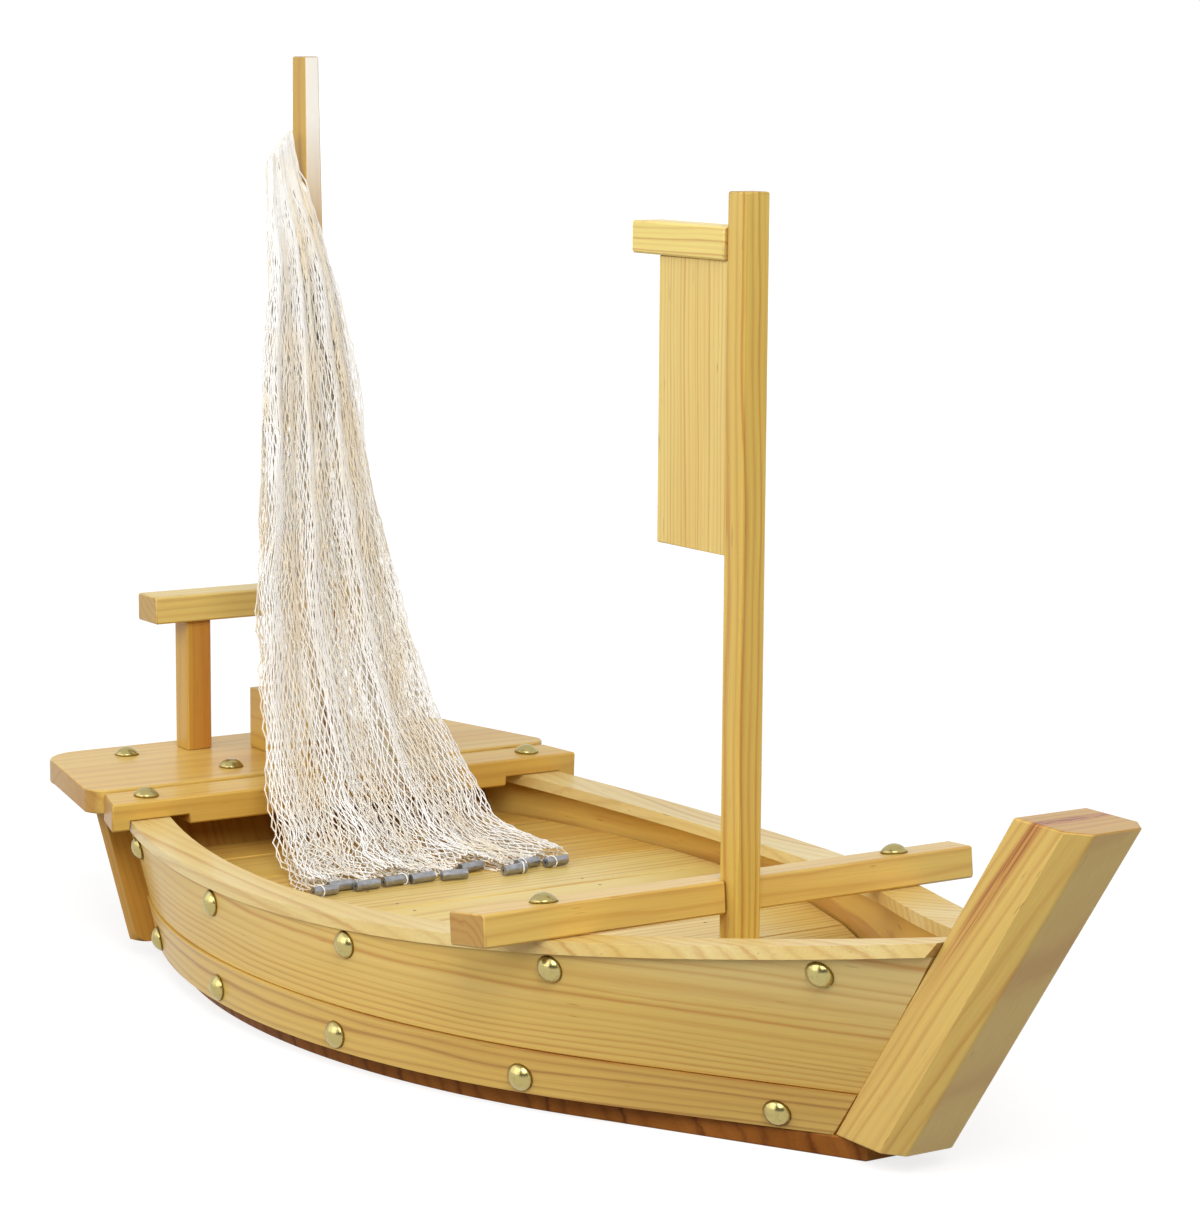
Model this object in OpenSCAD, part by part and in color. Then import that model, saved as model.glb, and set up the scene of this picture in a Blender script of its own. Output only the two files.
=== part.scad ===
// Wooden serving boat for sushi: a planked hull with a raised floor, two beams across the
// rails, a stern deck with a little rail on posts, a forward mast with a wooden sail and a
// rear mast that carries a weighted net. Both masts lift out of their sockets.
// Millimetres. +X points to the bow, +Y to port, +Z up. The boat stands on Z = 0.

/* [Bottom board] */
// Thickness of the bottom board
board_t = 8; // [5:0.5:14]
// Breadth of the bottom board at its widest
board_w = 226; // [180:1:232]
// Radius of the bottom board's curved sides
board_curve_r = 332; // [290:1:420]
// Distance ahead of the widest point where the board's sides run straight
board_straight = 165; // [120:1:190]
// Place of the board's blunt bow end
board_bow_x = 193; // [186:1:205]

/* [Hull sides] */
// Breadth over the sides at their foot
foot_w = 240; // [200:1:270]
// Radius of the sides' curve at the foot
foot_curve_r = 330; // [300:1:420]
// Place of the foot's widest point
foot_widest_x = -75; // [-95:1:-60]
// Distance ahead of the widest point where the foot runs straight
foot_straight = 185; // [150:1:200]
// Breadth over the sides at the rail
rail_w = 243; // [220:1:275]
// Radius of the sides' curve at the rail
rail_curve_r = 478; // [430:1:560]
// Place of the rail's widest point
rail_widest_x = -85; // [-105:1:-70]
// Distance ahead of the widest point where the rail runs straight
rail_straight = 207; // [170:1:225]
// Height of the rail's top at its lowest point
sheer_low = 59.4; // [56:0.2:75]
// Place of the rail's lowest point
sheer_x = -105; // [-130:1:-80]
// Radius of the rail's rise, seen from the side
sheer_r = 1900; // [1500:10:3000]
// Height of the lower strakes
lower_h = 17.5; // [12:0.5:22]
// Thickness of the lower strakes
lower_t = 10; // [8:0.5:12]
// Thickness of the upper strakes
upper_t = 8.5; // [6:0.5:10]
// How far the lower strakes stand out past the upper ones
lower_proud = 1.2; // [0:0.1:2]
// Width of the cap rails
cap_w = 18; // [14:0.5:22]
// Thickness of the cap rails
cap_t = 5; // [3:0.5:7]
// How far the cap rails stand out past the strakes
cap_proud = 0.8; // [0:0.1:2]

/* [Stem and transom] */
// Place of the stem's aft face at its foot
stem_x = 181.6; // [170:0.2:195]
// Lean of the stem from upright, in degrees
stem_lean = 35.6; // [25:0.2:42]
// Height of the stem post
stem_h = 133; // [105:1:160]
// Length of the stem post, fore and aft
stem_len = 34.7; // [26:0.1:45]
// Breadth of the stem post
stem_w = 31.6; // [26:0.2:40]
// Chamfer on the stem's front corners, fore and aft
stem_chamfer_x = 8.5; // [2:0.5:12]
// Chamfer on the stem's front corners, across
stem_chamfer_y = 5.7; // [2:0.1:10]
// Place of the transom's front face at its foot
transom_x = -202.4; // [-215:0.2:-190]
// Lean of the transom from upright, in degrees
transom_lean = 33.3; // [20:0.1:38]
// Thickness of the transom board
transom_t = 7; // [5:0.5:10]
// How far the transom board reaches past the sides at their foot
transom_over = 10.5; // [6:0.5:16]
// Radius of the transom's lower corners
transom_corner_r = 6; // [2:0.5:12]

/* [Floor] */
// Height of the floor's top above the table
floor_z = 42.5; // [38:0.5:46]
// Thickness of the floor boards
floor_t = 6; // [4:0.5:9]
// Pitch of the floor boards, fore and aft
floor_pitch = 39.2; // [34:0.2:44]
// Place of the seam ahead of the third floor board
floor_seam_x = -114; // [-125:0.5:-105]
// Gap between two floor boards
floor_seam = 0.8; // [0.3:0.1:2]
// Gap between the floor boards' ends and the sides
floor_end_gap = 1; // [0.5:0.1:4]
// Distance of the floor bearers from the middle line
bearer_y = 45; // [30:1:60]
// Width of the floor bearers
bearer_w = 16; // [8:1:24]
// Length of the bow bearer, fore and aft
bow_bearer_len = 42; // [30:1:46]
// Breadth of the bow bearer
bow_bearer_w = 16; // [8:1:18]
// Diameter of the floor brads
brad_d = 1.4; // [1:0.1:2]
// Length of the floor brads
brad_len = 16; // [10:1:24]
// Distance of the brads from a board's seam, as a share of the pitch
brad_share = 0.18; // [0.1:0.02:0.3]

/* [Beams] */
// Place of the aft beam's middle
aft_beam_x = -211; // [-215:0.5:-195]
// Width of the aft beam, fore and aft
aft_beam_d = 19.5; // [14:0.5:22]
// Height of the aft beam
aft_beam_h = 12.2; // [9:0.2:16]
// How far the aft beam drops over the cap rails
aft_beam_drop = 4.2; // [1:0.1:5]
// How far the aft beam reaches past the rails
aft_beam_over = 10; // [4:0.5:20]
// Free room between the aft beam's notches and the inner edge of the rails
notch_room = 3.6; // [0.5:0.1:6]
// Place of the forward beam's middle
fwd_beam_x = 89.6; // [80:0.2:100]
// Width of the forward beam, fore and aft
fwd_beam_d = 19; // [14:0.5:24]
// Height of the forward beam
fwd_beam_h = 12.6; // [9:0.2:16]
// How far the forward beam reaches past the rails
fwd_beam_over = 27; // [4:0.5:34]
// How much longer the forward beam is on its aft side, at each end
fwd_beam_skew = 3.5; // [0:0.5:8]

/* [Stern deck] */
// Length of the stern deck, fore and aft
deck_len = 90; // [70:1:110]
// How far the stern deck reaches past the rails at its front
deck_over = 11.5; // [2:0.5:24]
// How much the stern deck draws in towards its aft edge, on each side
deck_taper = 13; // [0:1:24]
// Thickness of the stern deck
deck_t = 10.5; // [7:0.5:14]
// Height of the stern deck's top above the table
deck_z = 72; // [70:0.5:76]
// Radius of the deck's aft corners
deck_aft_r = 20; // [5:1:35]
// Radius of the deck's front corners
deck_front_r = 10; // [2:1:18]
// Place of the stern rail's middle behind the deck's front edge
rail_post_back = 70; // [60:1:80]
// Distance of the stern rail's posts from the middle line
rail_post_y = 33; // [22:1:60]
// Side of the square rail posts
rail_post_w = 12.4; // [8:0.2:18]
// Height of the rail posts
rail_post_h = 60; // [40:1:90]
// Length of the stern rail's bar
rail_bar_len = 112; // [90:1:150]
// Width of the stern rail's bar, fore and aft
rail_bar_d = 18.6; // [12:0.2:24]
// Height of the stern rail's bar
rail_bar_h = 12.4; // [8:0.2:18]

/* [Masts] */
// Side of the square forward mast
fwd_mast_w = 11.4; // [9:0.1:16]
// Height of the forward mast's top above the table
fwd_mast_top = 339.5; // [300:0.5:380]
// How far the forward mast stands in the forward beam's notch
fwd_mast_inset = 4.8; // [2:0.1:8]
// Side of the square step block under the forward mast
fwd_step_w = 32; // [24:1:40]
// Height of the forward mast's step block
fwd_step_h = 18; // [10:1:24]
// Length of the sail yard
yard_len = 61.4; // [45:0.2:80]
// Height of the sail yard
yard_h = 12.4; // [8:0.2:18]
// Thickness of the sail yard
yard_t = 14; // [10:0.2:18]
// Distance of the yard's top below the mast's top
yard_down = 13; // [4:0.5:30]
// Width of the sail panel, fore and aft
sail_w = 45; // [30:0.5:52]
// Height of the sail panel
sail_h = 109; // [80:1:150]
// Thickness of the sail panel
sail_t = 10.5; // [4:0.5:12]
// Length of the rear mast's foot, fore and aft
rear_foot_len = 20; // [14:0.5:24]
// Breadth of the rear mast's foot
rear_foot_w = 12; // [9:0.5:14]
// Length of the rear mast's head, fore and aft
rear_head_len = 12; // [8:0.5:14]
// Breadth of the rear mast's head
rear_head_w = 6.8; // [5:0.2:9]
// Height of the rear mast's top above the table
rear_mast_top = 386.5; // [340:0.5:430]
// Place of the rear mast's aft face behind the deck's front edge
rear_mast_back = 26; // [26:0.5:32]
// Length of the rear mast's step block, fore and aft
rear_step_len = 57; // [48:1:58]
// Breadth of the rear mast's step block
rear_step_w = 21; // [18:0.5:34]
// Height of the rear mast's step block
rear_step_h = 28; // [18:1:38]
// Room left between the step block's front and the deck's front edge
rear_step_room = 1; // [0.5:0.5:1.5]

/* [Net] */
// Height of the net's upper end below the rear mast's top
net_down = 41; // [30:1:60]
// Width of the gathered net at its upper end
net_head_w = 18; // [12:1:26]
// Thickness of the gathered net at its upper end
net_head_t = 8; // [5:0.5:12]
// Width of the spread net at its hem
net_hem_w = 122; // [80:1:140]
// Thickness of the folded net at its hem
net_hem_t = 5; // [4:0.5:8]
// How far the net's upper end lies to starboard of the middle line
net_head_side = 15; // [0:1:20]
// How far the middle of the hem lies to starboard of the middle line
net_hem_side = 8; // [0:1:16]
// How far forward the falling net bows out
net_bow = 22; // [16:1:40]
// Height at which the net bows out most, as a share of its fall
net_bow_share = 0.31; // [0.2:0.01:0.45]
// Place of the row of sinkers at the hem
sinker_x = -110; // [-120:1:-100]
// Diameter of a sinker
sinker_d = 4.2; // [3:0.1:6]
// Length of a sinker
sinker_len = 11.5; // [8:0.5:15]
// Bore of a sinker
sinker_bore = 1.2; // [0.8:0.1:2]

/* [Nails] */
// Diameter of a nail's domed head
nail_head_d = 11; // [8:0.2:14]
// Height of a nail's domed head
nail_head_h = 3.4; // [2:0.1:5]
// Diameter of a nail's shank
nail_shank_d = 1.8; // [1:0.1:2.4]
// Length of the shanks in the strakes
nail_len = 6.5; // [4:0.5:7]
// Place of the aftmost nails in the upper strakes
upper_nail_x = -199; // [-205:1:-190]
// Pitch of the nails in the upper strakes
upper_nail_pitch = 98.7; // [90:0.1:100]
// Place of the aftmost nails in the lower strakes
lower_nail_x = -181; // [-190:1:-170]
// Pitch of the nails in the lower strakes
lower_nail_pitch = 86.5; // [80:0.5:88]
// Depth of the upper strakes' nails below the rail's top
nail_upper_down = 11; // [9:0.5:20]
// Height of the lower strakes' nails above their foot
nail_lower_up = 6.6; // [5:0.2:11]
// Distance of the deck's aft nails from its front edge
deck_nail_back = 70; // [55:1:80]
// Distance of the deck's front nails from its front edge
deck_nail_front = 21; // [12:1:28]
// Distance of the deck's aft nails from the middle line
deck_nail_aft_y = 67; // [50:1:85]
// Distance of the deck's front nails from the middle line
deck_nail_front_y = 39; // [24:1:70]

/* [Fits] */
// Gap between glued hull pieces
glue_gap = 0.2; // [0.05:0.05:0.4]
// Room on each side of a mast in its socket
mast_fit = 0.3; // [0.2:0.05:0.6]
// Radial room round a nail or a brad
nail_fit = 0.05; // [0.02:0.01:0.1]
// Gap between the net or its sinkers and what they touch
net_fit = 0.3; // [0.2:0.05:0.6]
// Chamfer on the long edges of bars
edge = 0.8; // [0.2:0.1:1.5]

/* [Hidden] */
$fn = 48;
pine = "#e6c27c";
pale_pine = "#efd79a";
dark_pine = "#b98548";
brass = "#c2a760";
lead = "#85888c";
cotton = "#f2eee4";
// Stations along a strake and along the net
strake_steps = 44;
net_steps = 14;
// Overlap that lets a cut pass right through a face
cut = 1;
foot_z = board_t;
seam_z = foot_z + lower_h;
floor_low = floor_z - floor_t;
// Height to which the sides' blanks run before their ends are cut
blank_top = 2 * sheer_low;
deck_low = deck_z - deck_t;
// The floor boards run from the transom to the bow, and the last one is cut short at the stem
floor_count = 11;
last_board_share = 0.8;
floor_aft_x = floor_seam_x - 3 * floor_pitch;
// The side bearers reach under the ninth board, the bow bearer lies under the last two
bearer_boards = 8.6;
bow_bearer_boards = 9.7;
// Nails along each strake
nail_count = 5;
// Each sinker's place along the hem as a share of its half width, how far it lies ahead of
// the row, and its turn on the floor in degrees
sinker_lie = [[-0.92, 1, 4], [-0.75, -4, -4], [-0.59, 0.5, 4], [-0.36, -0.5, 3], [-0.155, 0.5, 5],
    [0.08, 3, -8], [0.3, -6, 8], [0.53, 7, 4], [0.705, 0, 10], [0.91, 3, 8]];

// Height of the rail's top above the table
function sheer_z(x) = sheer_low + sheer_r - sqrt(sheer_r * sheer_r - pow(x - sheer_x, 2));
// Slope of the rail, in degrees
function sheer_angle(x) = asin((x - sheer_x) / sheer_r);

// Half breadth of a curve that is an arc about its widest point and then runs straight
function arc_y(x, half, r, widest, run) =
    let(u = x - widest, a = min(u, run), root = sqrt(r * r - a * a))
    half - (r - root) - max(u - run, 0) * run / sqrt(r * r - run * run);
function board_y(x) = arc_y(x, board_w / 2, board_curve_r, foot_widest_x, board_straight);
function foot_y(x) = arc_y(x, foot_w / 2, foot_curve_r, foot_widest_x, foot_straight);
function rail_y(x) = arc_y(x, rail_w / 2, rail_curve_r, rail_widest_x, rail_straight);

// Half breadth over the upper strakes, and its slopes along x and z
function side_y(x, z) =
    let(k = (z - foot_z) / (sheer_z(x) - foot_z))
    foot_y(x) * (1 - k) + rail_y(x) * k;
function side_dx(x, z) = side_y(x + 0.5, z) - side_y(x - 0.5, z);
function side_dz(x, z) = side_y(x, z + 0.5) - side_y(x, z - 0.5);
// Half breadth at a depth t inside the side's face
function inset_y(x, z, t) = side_y(x, z) - t * sqrt(1 + pow(side_dx(x, z), 2));

// The leaning faces that the strakes end on
function stem_aft_x(z) = stem_x + (z - foot_z) * tan(stem_lean) - glue_gap;
function transom_front_x(z) = transom_x - (z - foot_z) * tan(transom_lean) + glue_gap;
// Stations along the hull, from behind the transom's face to ahead of the stem's
function station(i) = between(transom_front_x(blank_top), stem_aft_x(blank_top), i / strake_steps);
function between(a, b, k) = a + (b - a) * k;
// Breadth of a cap rail measured across the boat
function cap_across(x) = cap_w * sqrt(1 + pow(rail_y(x + 0.5) - rail_y(x - 0.5), 2));

// A solid swept through rings of four corners, closed at both ends
module four_sided(rings) {
    n = len(rings);
    sides = [for (i = [0 : n - 2], j = [0 : 3])
        let(a = 4 * i + j, b = 4 * i + (j + 1) % 4)
        each [[a, b, b + 4], [a, b + 4, a + 4]]];
    last = 4 * (n - 1);
    ends = [[2, 1, 0], [3, 2, 0], [last, last + 1, last + 2], [last, last + 2, last + 3]];
    polyhedron([for (r = rings) each r], concat(sides, ends), convexity = 8);
}

// A rectangle with its corners cut off, for the section of a bar
module bar_section(w, h, c) {
    polygon([
        [-w / 2 + c, -h / 2], [w / 2 - c, -h / 2], [w / 2, -h / 2 + c], [w / 2, h / 2 - c],
        [w / 2 - c, h / 2], [-w / 2 + c, h / 2], [-w / 2, h / 2 - c], [-w / 2, -h / 2 + c]]);
}

// A copy for each side of the boat
module both_sides() {
    children();
    mirror([0, 1, 0]) children();
}

module port(side) {
    mirror([0, side == "port" ? 0 : 1, 0]) children();
}

// A point on the port side's face, and its outward direction
module on_side(x, z, out) {
    dx = side_dx(x, z);
    dz = side_dz(x, z);
    size = sqrt(1 + dx * dx + dz * dz);
    translate([x - out * dx / size, side_y(x, z) + out / size, z - out * dz / size])
        rotate([0, acos(-dz / size), atan2(1, -dx)])
            children();
}

// A domed nail that stands on z = 0 with its shank below
module nail(shank) {
    round_r = (nail_head_d * nail_head_d / 4 + nail_head_h * nail_head_h) / (2 * nail_head_h);
    intersection() {
        translate([0, 0, nail_head_h - round_r]) sphere(r = round_r);
        cylinder(d = nail_head_d + cut, h = nail_head_h + cut);
    }
    translate([0, 0, -shank]) cylinder(d = nail_shank_d, h = shank + nail_head_h / 2);
}

module nail_hole(shank) {
    translate([0, 0, -shank - nail_fit])
        cylinder(d = nail_shank_d + 2 * nail_fit, h = shank + nail_fit + nail_head_h);
}

module upper_nail_places() {
    for (i = [0 : nail_count - 1])
        let(x = upper_nail_x + i * upper_nail_pitch)
            on_side(x, sheer_z(x) - nail_upper_down, glue_gap) children();
}

module lower_nail_places() {
    for (i = [0 : nail_count - 1])
        let(x = lower_nail_x + i * lower_nail_pitch)
            on_side(x, foot_z + nail_lower_up, lower_proud + glue_gap) children();
}

module bottom_board() {
    aft_x = transom_x - transom_t / cos(transom_lean);
    arc_end = foot_widest_x + board_straight;
    steps = 40;
    edge_points = [for (i = [0 : steps])
        let(x = between(aft_x, arc_end, i / steps)) [x, board_y(x)]];
    bow_point = [board_bow_x, board_y(board_bow_x)];
    half = concat(edge_points, [bow_point]);
    mirrored = [for (i = [len(half) - 1 : -1 : 0]) [half[i].x, -half[i].y]];
    color(dark_pine) linear_extrude(board_t) polygon(concat(half, mirrored));
}

module stem_post() {
    half = stem_w / 2;
    front = stem_len - stem_chamfer_x;
    section = [[0, -half], [front, -half], [stem_len, -half + stem_chamfer_y],
        [stem_len, half - stem_chamfer_y], [front, half], [0, half]];
    // The post is a bar along its own lean, cut level at its head and its foot
    lean_len = stem_h / cos(stem_lean);
    reach = stem_len + stem_w;
    squeeze = cos(stem_lean);
    slant = [for (p = section) [p.x * squeeze, p.y]];
    color(pale_pine) translate([stem_x, 0, foot_z]) intersection() {
        rotate([0, stem_lean, 0]) translate([0, 0, -reach])
            linear_extrude(lean_len + 2 * reach) polygon(slant);
        translate([-reach, -stem_w, 0])
            cube([stem_h * tan(stem_lean) + 2 * reach, 2 * stem_w, stem_h]);
    }
}

module transom() {
    along = (deck_low - glue_gap - foot_z) / cos(transom_lean);
    thick_x = transom_t / cos(transom_lean);
    reach = transom_t;
    half = foot_y(transom_x) + transom_over;
    color(pine) translate([transom_x, 0, foot_z]) intersection() {
        rotate([0, -transom_lean, 0]) translate([-transom_t, 0, -reach])
            rotate([90, 0, 90]) linear_extrude(transom_t) union() {
                translate([-half, reach + transom_corner_r])
                    square([2 * half, along + reach]);
                translate([-half + transom_corner_r, 0])
                    square([2 * (half - transom_corner_r), reach + along]);
                for (s = [-1, 1])
                    translate([s * (half - transom_corner_r), reach + transom_corner_r])
                        circle(r = transom_corner_r);
            }
        translate([-thick_x - 2 * along, -half - cut, 0])
            cube([4 * along, 2 * (half + cut), deck_low - glue_gap - foot_z]);
    }
}

// Keeps what lies between the transom's front face and the stem's aft face
module between_ends() {
    intersection() {
        children();
        rotate([90, 0, 0]) linear_extrude(2 * rail_w, center = true)
            polygon([[transom_front_x(0), 0], [stem_aft_x(0), 0],
                [stem_aft_x(blank_top), blank_top], [transom_front_x(blank_top), blank_top]]);
    }
}

// A strake from a level line up to another one, or up to a line at a fixed depth below the rail
module strake_body(low_z, high_z, high_down, t, proud) {
    rings = [for (i = [0 : strake_steps])
        let(x = station(i),
            top = high_z == undef ? sheer_z(x) - high_down : high_z)
        [[x, inset_y(x, low_z, -proud), low_z],
         [x, inset_y(x, top, -proud), top],
         [x, inset_y(x, top, t - proud), top],
         [x, inset_y(x, low_z, t - proud), low_z]]];
    between_ends() four_sided(rings);
}

module lower_strake(side) {
    color(pine) port(side) difference() {
        strake_body(foot_z + glue_gap, seam_z, undef, lower_t, lower_proud);
        lower_nail_places() nail_hole(nail_len);
    }
}

module upper_strake(side) {
    color(pine) port(side) difference() {
        strake_body(seam_z + glue_gap, undef, cap_t + glue_gap, upper_t, 0);
        upper_nail_places() nail_hole(nail_len);
    }
}

module lower_strake_port() { lower_strake("port"); }
module lower_strake_starboard() { lower_strake("starboard"); }
module upper_strake_port() { upper_strake("port"); }
module upper_strake_starboard() { upper_strake("starboard"); }

module cap_rail(side) {
    rings = [for (i = [0 : strake_steps])
        let(x = station(i),
            outer = rail_y(x) + cap_proud,
            inner = max(outer - cap_across(x), glue_gap),
            top = sheer_z(x),
            low = top - cap_t)
        [[x, outer, low], [x, outer, top], [x, inner, top], [x, inner, low]]];
    seat_x = deck_front_x();
    color(pale_pine) port(side) difference() {
        between_ends() four_sided(rings);
        // Planed level where the stern deck sits
        translate([seat_x - deck_len, 0, deck_low - glue_gap])
            cube([deck_len + glue_gap, rail_w, deck_t]);
    }
}

module cap_rail_port() { cap_rail("port"); }
module cap_rail_starboard() { cap_rail("starboard"); }

// A floor board from seam to seam, its ends cut along the sides
module floor_board(i) {
    aft = floor_aft_x + i * floor_pitch + floor_seam / 2;
    aft_x = max(aft, transom_front_x(floor_low) + floor_end_gap);
    share = i == floor_count - 1 ? last_board_share : 1;
    bow_x = floor_aft_x + (i + share) * floor_pitch - floor_seam / 2;
    aft_y = inset_y(aft_x, floor_low, upper_t) - floor_end_gap;
    bow_y = inset_y(bow_x, floor_low, upper_t) - floor_end_gap;
    color(i % 2 == 0 ? pine : pale_pine) difference() {
        translate([0, 0, floor_low]) linear_extrude(floor_t)
            polygon([[aft_x, -aft_y], [bow_x, -bow_y], [bow_x, bow_y], [aft_x, aft_y]]);
        brad_places() brad_hole();
        fwd_mast_socket(floor_low - cut, floor_t + 2 * cut);
    }
}

module floor_board_1() { floor_board(0); }
module floor_board_2() { floor_board(1); }
module floor_board_3() { floor_board(2); }
module floor_board_4() { floor_board(3); }
module floor_board_5() { floor_board(4); }
module floor_board_6() { floor_board(5); }
module floor_board_7() { floor_board(6); }
module floor_board_8() { floor_board(7); }
module floor_board_9() { floor_board(8); }
module floor_board_10() { floor_board(9); }
module floor_board_11() { floor_board(10); }

function bearer_aft_x() = transom_x + lower_t;
function bearer_bow_x() = floor_aft_x + bearer_boards * floor_pitch;

// The brads stand near each board's edges, over the bearers
module brad_places() {
    for (i = [0 : floor_count - 3], s = [-1, 1], e = [brad_share, 1 - brad_share])
        translate([floor_aft_x + (i + e) * floor_pitch, s * bearer_y, floor_z])
            if (floor_aft_x + (i + e) * floor_pitch > bearer_aft_x() + brad_d
                && floor_aft_x + (i + e) * floor_pitch < bearer_bow_x() - brad_d)
                children();
}

module brad_hole() {
    translate([0, 0, -brad_len - nail_fit])
        cylinder(d = brad_d + 2 * nail_fit, h = brad_len + nail_fit + cut);
}

module floor_bearer(side) {
    len_x = bearer_bow_x() - bearer_aft_x();
    color(dark_pine) difference() {
        port(side) translate([bearer_aft_x(), bearer_y - bearer_w / 2, foot_z])
            cube([len_x, bearer_w, floor_low - foot_z]);
        brad_places() brad_hole();
    }
}

module floor_bearer_port() { floor_bearer("port"); }
module floor_bearer_starboard() { floor_bearer("starboard"); }

module bow_bearer() {
    mid_x = floor_aft_x + bow_bearer_boards * floor_pitch;
    color(dark_pine) translate([mid_x - bow_bearer_len / 2, -bow_bearer_w / 2, foot_z])
        cube([bow_bearer_len, bow_bearer_w, floor_low - foot_z]);
}

module floor_brads() {
    color(lead) brad_places() translate([0, 0, -brad_len]) cylinder(d = brad_d, h = brad_len);
}

// A beam across the rails: a bar from side to side, tilted with the rail's rise
module on_rail(x) {
    translate([x, 0, sheer_z(x) + glue_gap]) rotate([0, -sheer_angle(x), 0]) children();
}

module beam_blank(depth, height, low, half_aft, half_bow) {
    intersection() {
        translate([0, 0, low]) linear_extrude(height)
            polygon([[-depth / 2, -half_aft], [depth / 2, -half_bow],
                [depth / 2, half_bow], [-depth / 2, half_aft]]);
        translate([0, 0, low + height / 2]) rotate([90, 0, 0])
            linear_extrude(4 * max(half_aft, half_bow), center = true)
                bar_section(depth, height, edge);
    }
}

function aft_beam_front_x() = aft_beam_x + aft_beam_d / 2;
function aft_beam_back_x() = aft_beam_x - aft_beam_d / 2;
function deck_front_x() = aft_beam_back_x() - 2 * glue_gap - aft_beam_h * abs(sin(sheer_angle(aft_beam_x)));

module beam_nail_places(x, depth_z) {
    y = rail_y(x) + cap_proud - cap_w / 2;
    both_sides() translate([0, y, depth_z]) children();
}

module aft_beam() {
    front_y = rail_y(aft_beam_front_x()) + aft_beam_over;
    back_y = rail_y(aft_beam_back_x()) + aft_beam_over;
    top = aft_beam_h - aft_beam_drop;
    outer_y = rail_y(aft_beam_front_x()) + cap_proud + glue_gap;
    inner_y = rail_y(aft_beam_back_x()) + cap_proud - cap_across(aft_beam_back_x()) - notch_room;
    color(pale_pine) on_rail(aft_beam_x) difference() {
        beam_blank(aft_beam_d, aft_beam_h, -aft_beam_drop, back_y, front_y);
        both_sides() translate([-aft_beam_d, inner_y, -aft_beam_h])
            cube([2 * aft_beam_d, outer_y - inner_y, aft_beam_h]);
        beam_nail_places(aft_beam_x, top) nail_hole(nail_len);
    }
}

module forward_beam() {
    front_y = rail_y(fwd_beam_x + fwd_beam_d / 2) + fwd_beam_over;
    color(pale_pine) difference() {
        on_rail(fwd_beam_x) difference() {
            beam_blank(fwd_beam_d, fwd_beam_h, 0, front_y + fwd_beam_skew, front_y);
            beam_nail_places(fwd_beam_x, fwd_beam_h) nail_hole(nail_len);
        }
        fwd_mast_socket(floor_z, fwd_mast_top);
    }
}

module beam_nails() {
    color(brass) {
        on_rail(aft_beam_x) beam_nail_places(aft_beam_x, aft_beam_h - aft_beam_drop + glue_gap)
            nail(nail_len);
        on_rail(fwd_beam_x) beam_nail_places(fwd_beam_x, fwd_beam_h + glue_gap) nail(nail_len);
    }
}

// Corner points of a plate with round corners, from the starboard bow corner round by port
function corner_arc(x, y, r, from) =
    [for (i = [0 : 8]) let(a = from + i * 90 / 8) [x + r * cos(a), y + r * sin(a)]];

module stern_deck() {
    front = deck_front_x();
    aft = front - deck_len;
    half = rail_y(aft_beam_x) + deck_over;
    aft_half = half - deck_taper;
    outline = concat(
        corner_arc(front - deck_front_r, -half + deck_front_r, deck_front_r, -90),
        corner_arc(front - deck_front_r, half - deck_front_r, deck_front_r, 0),
        corner_arc(aft + deck_aft_r, aft_half - deck_aft_r, deck_aft_r, 90),
        corner_arc(aft + deck_aft_r, -aft_half + deck_aft_r, deck_aft_r, 180));
    color(pale_pine) difference() {
        translate([0, 0, deck_low]) linear_extrude(deck_t) polygon(outline);
        deck_nail_places(0) nail_hole(nail_len);
    }
}

module deck_nail_places(up) {
    front = deck_front_x();
    both_sides() {
        translate([front - deck_nail_back, deck_nail_aft_y, deck_z + up]) children();
        translate([front - deck_nail_front, deck_nail_front_y, deck_z + up]) children();
    }
}

module deck_nails() {
    color(brass) deck_nail_places(glue_gap) nail(nail_len);
}

function rail_bar_x() = deck_front_x() - rail_post_back;

module rail_post(side) {
    color(dark_pine) port(side) translate([rail_bar_x(), rail_post_y, deck_z])
        linear_extrude(rail_post_h) bar_section(rail_post_w, rail_post_w, edge);
}

module rail_post_port() { rail_post("port"); }
module rail_post_starboard() { rail_post("starboard"); }

module stern_rail() {
    color(pale_pine) translate([rail_bar_x(), 0, deck_z + rail_post_h + rail_bar_h / 2])
        rotate([90, 0, 0]) linear_extrude(rail_bar_len, center = true)
            bar_section(rail_bar_d, rail_bar_h, edge);
}

// The forward mast stands partly in a notch in the forward beam's bow face
function fwd_beam_face_x(z) =
    fwd_beam_x + (fwd_beam_d / 2) / cos(sheer_angle(fwd_beam_x))
    - (z - sheer_z(fwd_beam_x)) * tan(sheer_angle(fwd_beam_x));
function fwd_mast_x() =
    fwd_beam_face_x(sheer_z(fwd_beam_x) + fwd_beam_h) - fwd_mast_inset + fwd_mast_w / 2;

module fwd_mast_socket(low, height) {
    side = fwd_mast_w + 2 * mast_fit;
    translate([fwd_mast_x() - side / 2, -side / 2, low]) cube([side, side, height]);
}

module forward_mast_step() {
    color(dark_pine) difference() {
        translate([fwd_mast_x() - fwd_step_w / 2, -fwd_step_w / 2, foot_z])
            cube([fwd_step_w, fwd_step_w, fwd_step_h]);
        fwd_mast_socket(foot_z - cut, fwd_step_h + 2 * cut);
    }
}

module forward_mast() {
    color(pine) translate([fwd_mast_x(), 0, foot_z + mast_fit])
        linear_extrude(fwd_mast_top - foot_z - mast_fit) bar_section(fwd_mast_w, fwd_mast_w, edge);
}

function sail_front_x() = fwd_mast_x() - fwd_mast_w / 2;

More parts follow.
